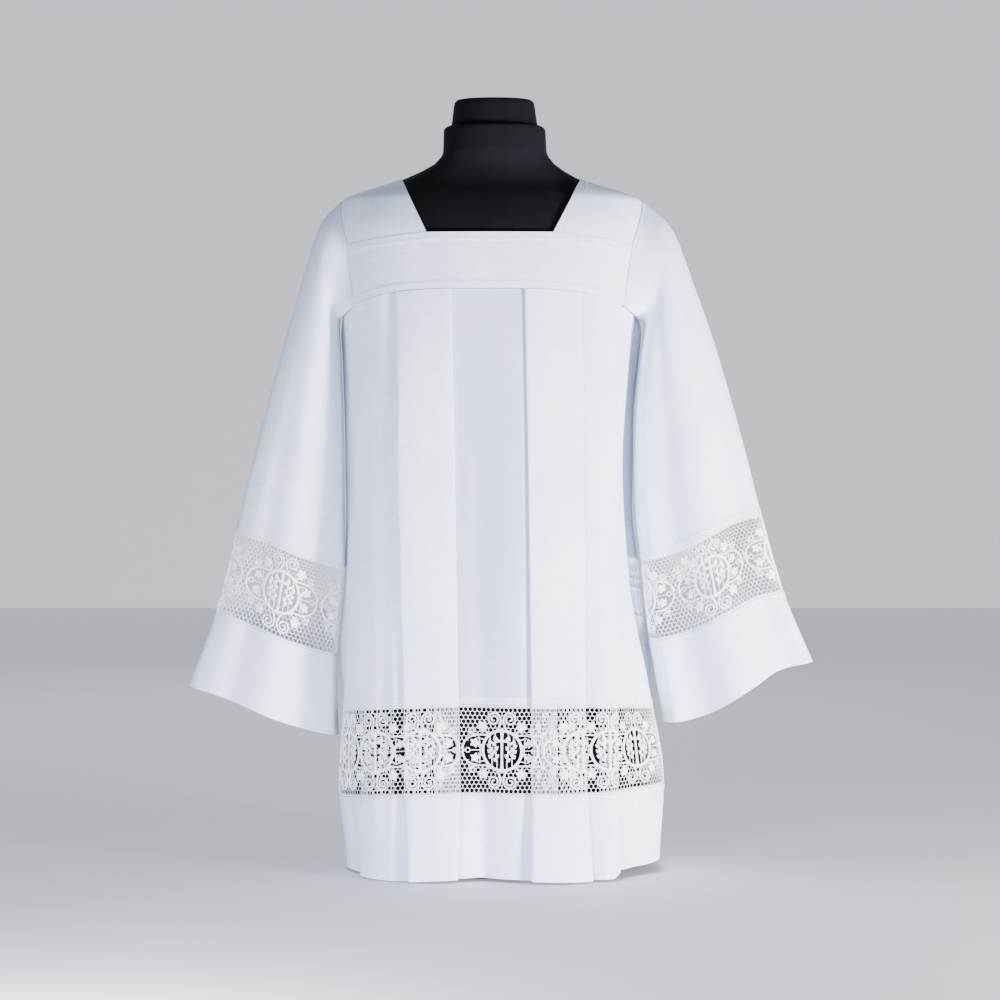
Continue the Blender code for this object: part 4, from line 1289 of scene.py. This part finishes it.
def dress_form(skin):
    """The whole form, closed at its foot and at the cap on its neck."""
    neck = [row[0] for row in FORM_NECK]
    heights = np.unique(np.concatenate([np.linspace(0, neck[-1], FORM_ROWS), neck]))
    turn = np.linspace(-math.pi, math.pi, FORM_POINTS + 1)[:-1]
    z = np.broadcast_to(heights[:, None], (len(heights), len(turn)))
    back = np.broadcast_to(np.abs(turn) > math.pi / 2, z.shape)
    angle = np.where(back, np.copysign(math.pi, turn) - turn, turn)
    rings = plan_points(angle, z, back, 0.0, form_table())
    foot, top = (np.array((ring[:, 0].mean(), 0.0, ring[0, 2])) for ring in (rings[0], rings[-1]))
    rings = np.concatenate([rings, [top + CAP_RING * (rings[-1] - top)]])
    points = np.concatenate([rings.reshape(-1, 3), [top, foot]])
    starts = np.arange(len(rings)) * FORM_POINTS
    sides = ring_faces(starts[:-1], starts[1:], FORM_POINTS)
    pairs = np.arange(0, FORM_POINTS, 2)
    after, last = pairs + 1, (pairs + 2) % FORM_POINTS
    lid = stacked(0 * pairs + len(points) - 2, *(starts[-1] + (pairs, after, last)))
    base = stacked(0 * pairs + len(points) - 1, last, after, pairs)
    places = stacked(np.arctan2(points[:, 0], -points[:, 1]) * FORM_RADIUS, points[:, 2])
    made = make_mesh("dress_form_cover", points, np.concatenate([sides, lid, base]), places, skin)
    return place(made, "form_cover", "dress_form")


# ---------------- camera, light and floor


def aimed(name, data, location, target):
    """An object that looks from its place at its target."""
    made = linked(name, data)
    made.location = location
    way = Vector(target) - Vector(location)
    made.rotation_euler = way.to_track_quat("-Z", "Y").to_euler()
    return made


def add_camera():
    data = bpy.data.cameras.new("camera")
    data.lens = CAMERA_LENS
    data.sensor_width = SENSOR_WIDTH
    bpy.context.scene.camera = aimed("camera", data, CAMERA_PLACE, CAMERA_TARGET)


def add_light(name, location, target, size, power, colour):
    data = bpy.data.lights.new(name, "AREA")
    data.shape = "DISK"
    data.size = size
    data.energy = power
    data.color = colour
    aimed(name, data, location, target)


def add_stage(name, corners, glow):
    """A plain pale sheet that isn't part of the object."""
    constants = {"Base Color": FLOOR_COLOUR, "Roughness": FLOOR_ROUGHNESS}
    constants |= {"Emission Color": FLOOR_COLOUR, "Emission Strength": glow}
    mesh = bpy.data.meshes.new(name)
    mesh.from_pydata(corners, [], [(0, 1, 2, 3)])
    mesh.materials.append(new_material("pale " + name, constants)[0])
    linked(name, mesh)


def add_studio():
    world = bpy.data.worlds.new("studio")
    world.use_nodes = True
    background = world.node_tree.nodes["Background"]
    background.inputs["Color"].default_value = WORLD_COLOUR
    background.inputs["Strength"].default_value = WORLD_STRENGTH
    bpy.context.scene.world = world
    for light in LIGHTS:
        add_light(*light)
    reach, wide, far, high = FLOOR_REACH, BACKDROP_REACH, BACKDROP_PLACE, BACKDROP_HEIGHT
    floor = [(-reach, -reach, 0), (reach, -reach, 0), (reach, reach, 0), (-reach, reach, 0)]
    backdrop = [(-wide, far, 0), (wide, far, 0), (wide, far, high), (-wide, far, high)]
    add_stage("floor", floor, FLOOR_GLOW)
    add_stage("backdrop", backdrop, BACKDROP_GLOW)


def main():
    add_camera()
    skins = {use: fabric(*look, **more) for use, *look, more in FABRICS}
    dress_form(skins["cover"])
    yoke_and_shoulders(skins)
    body(skins)
    sleeves(skins)
    add_studio()


main()
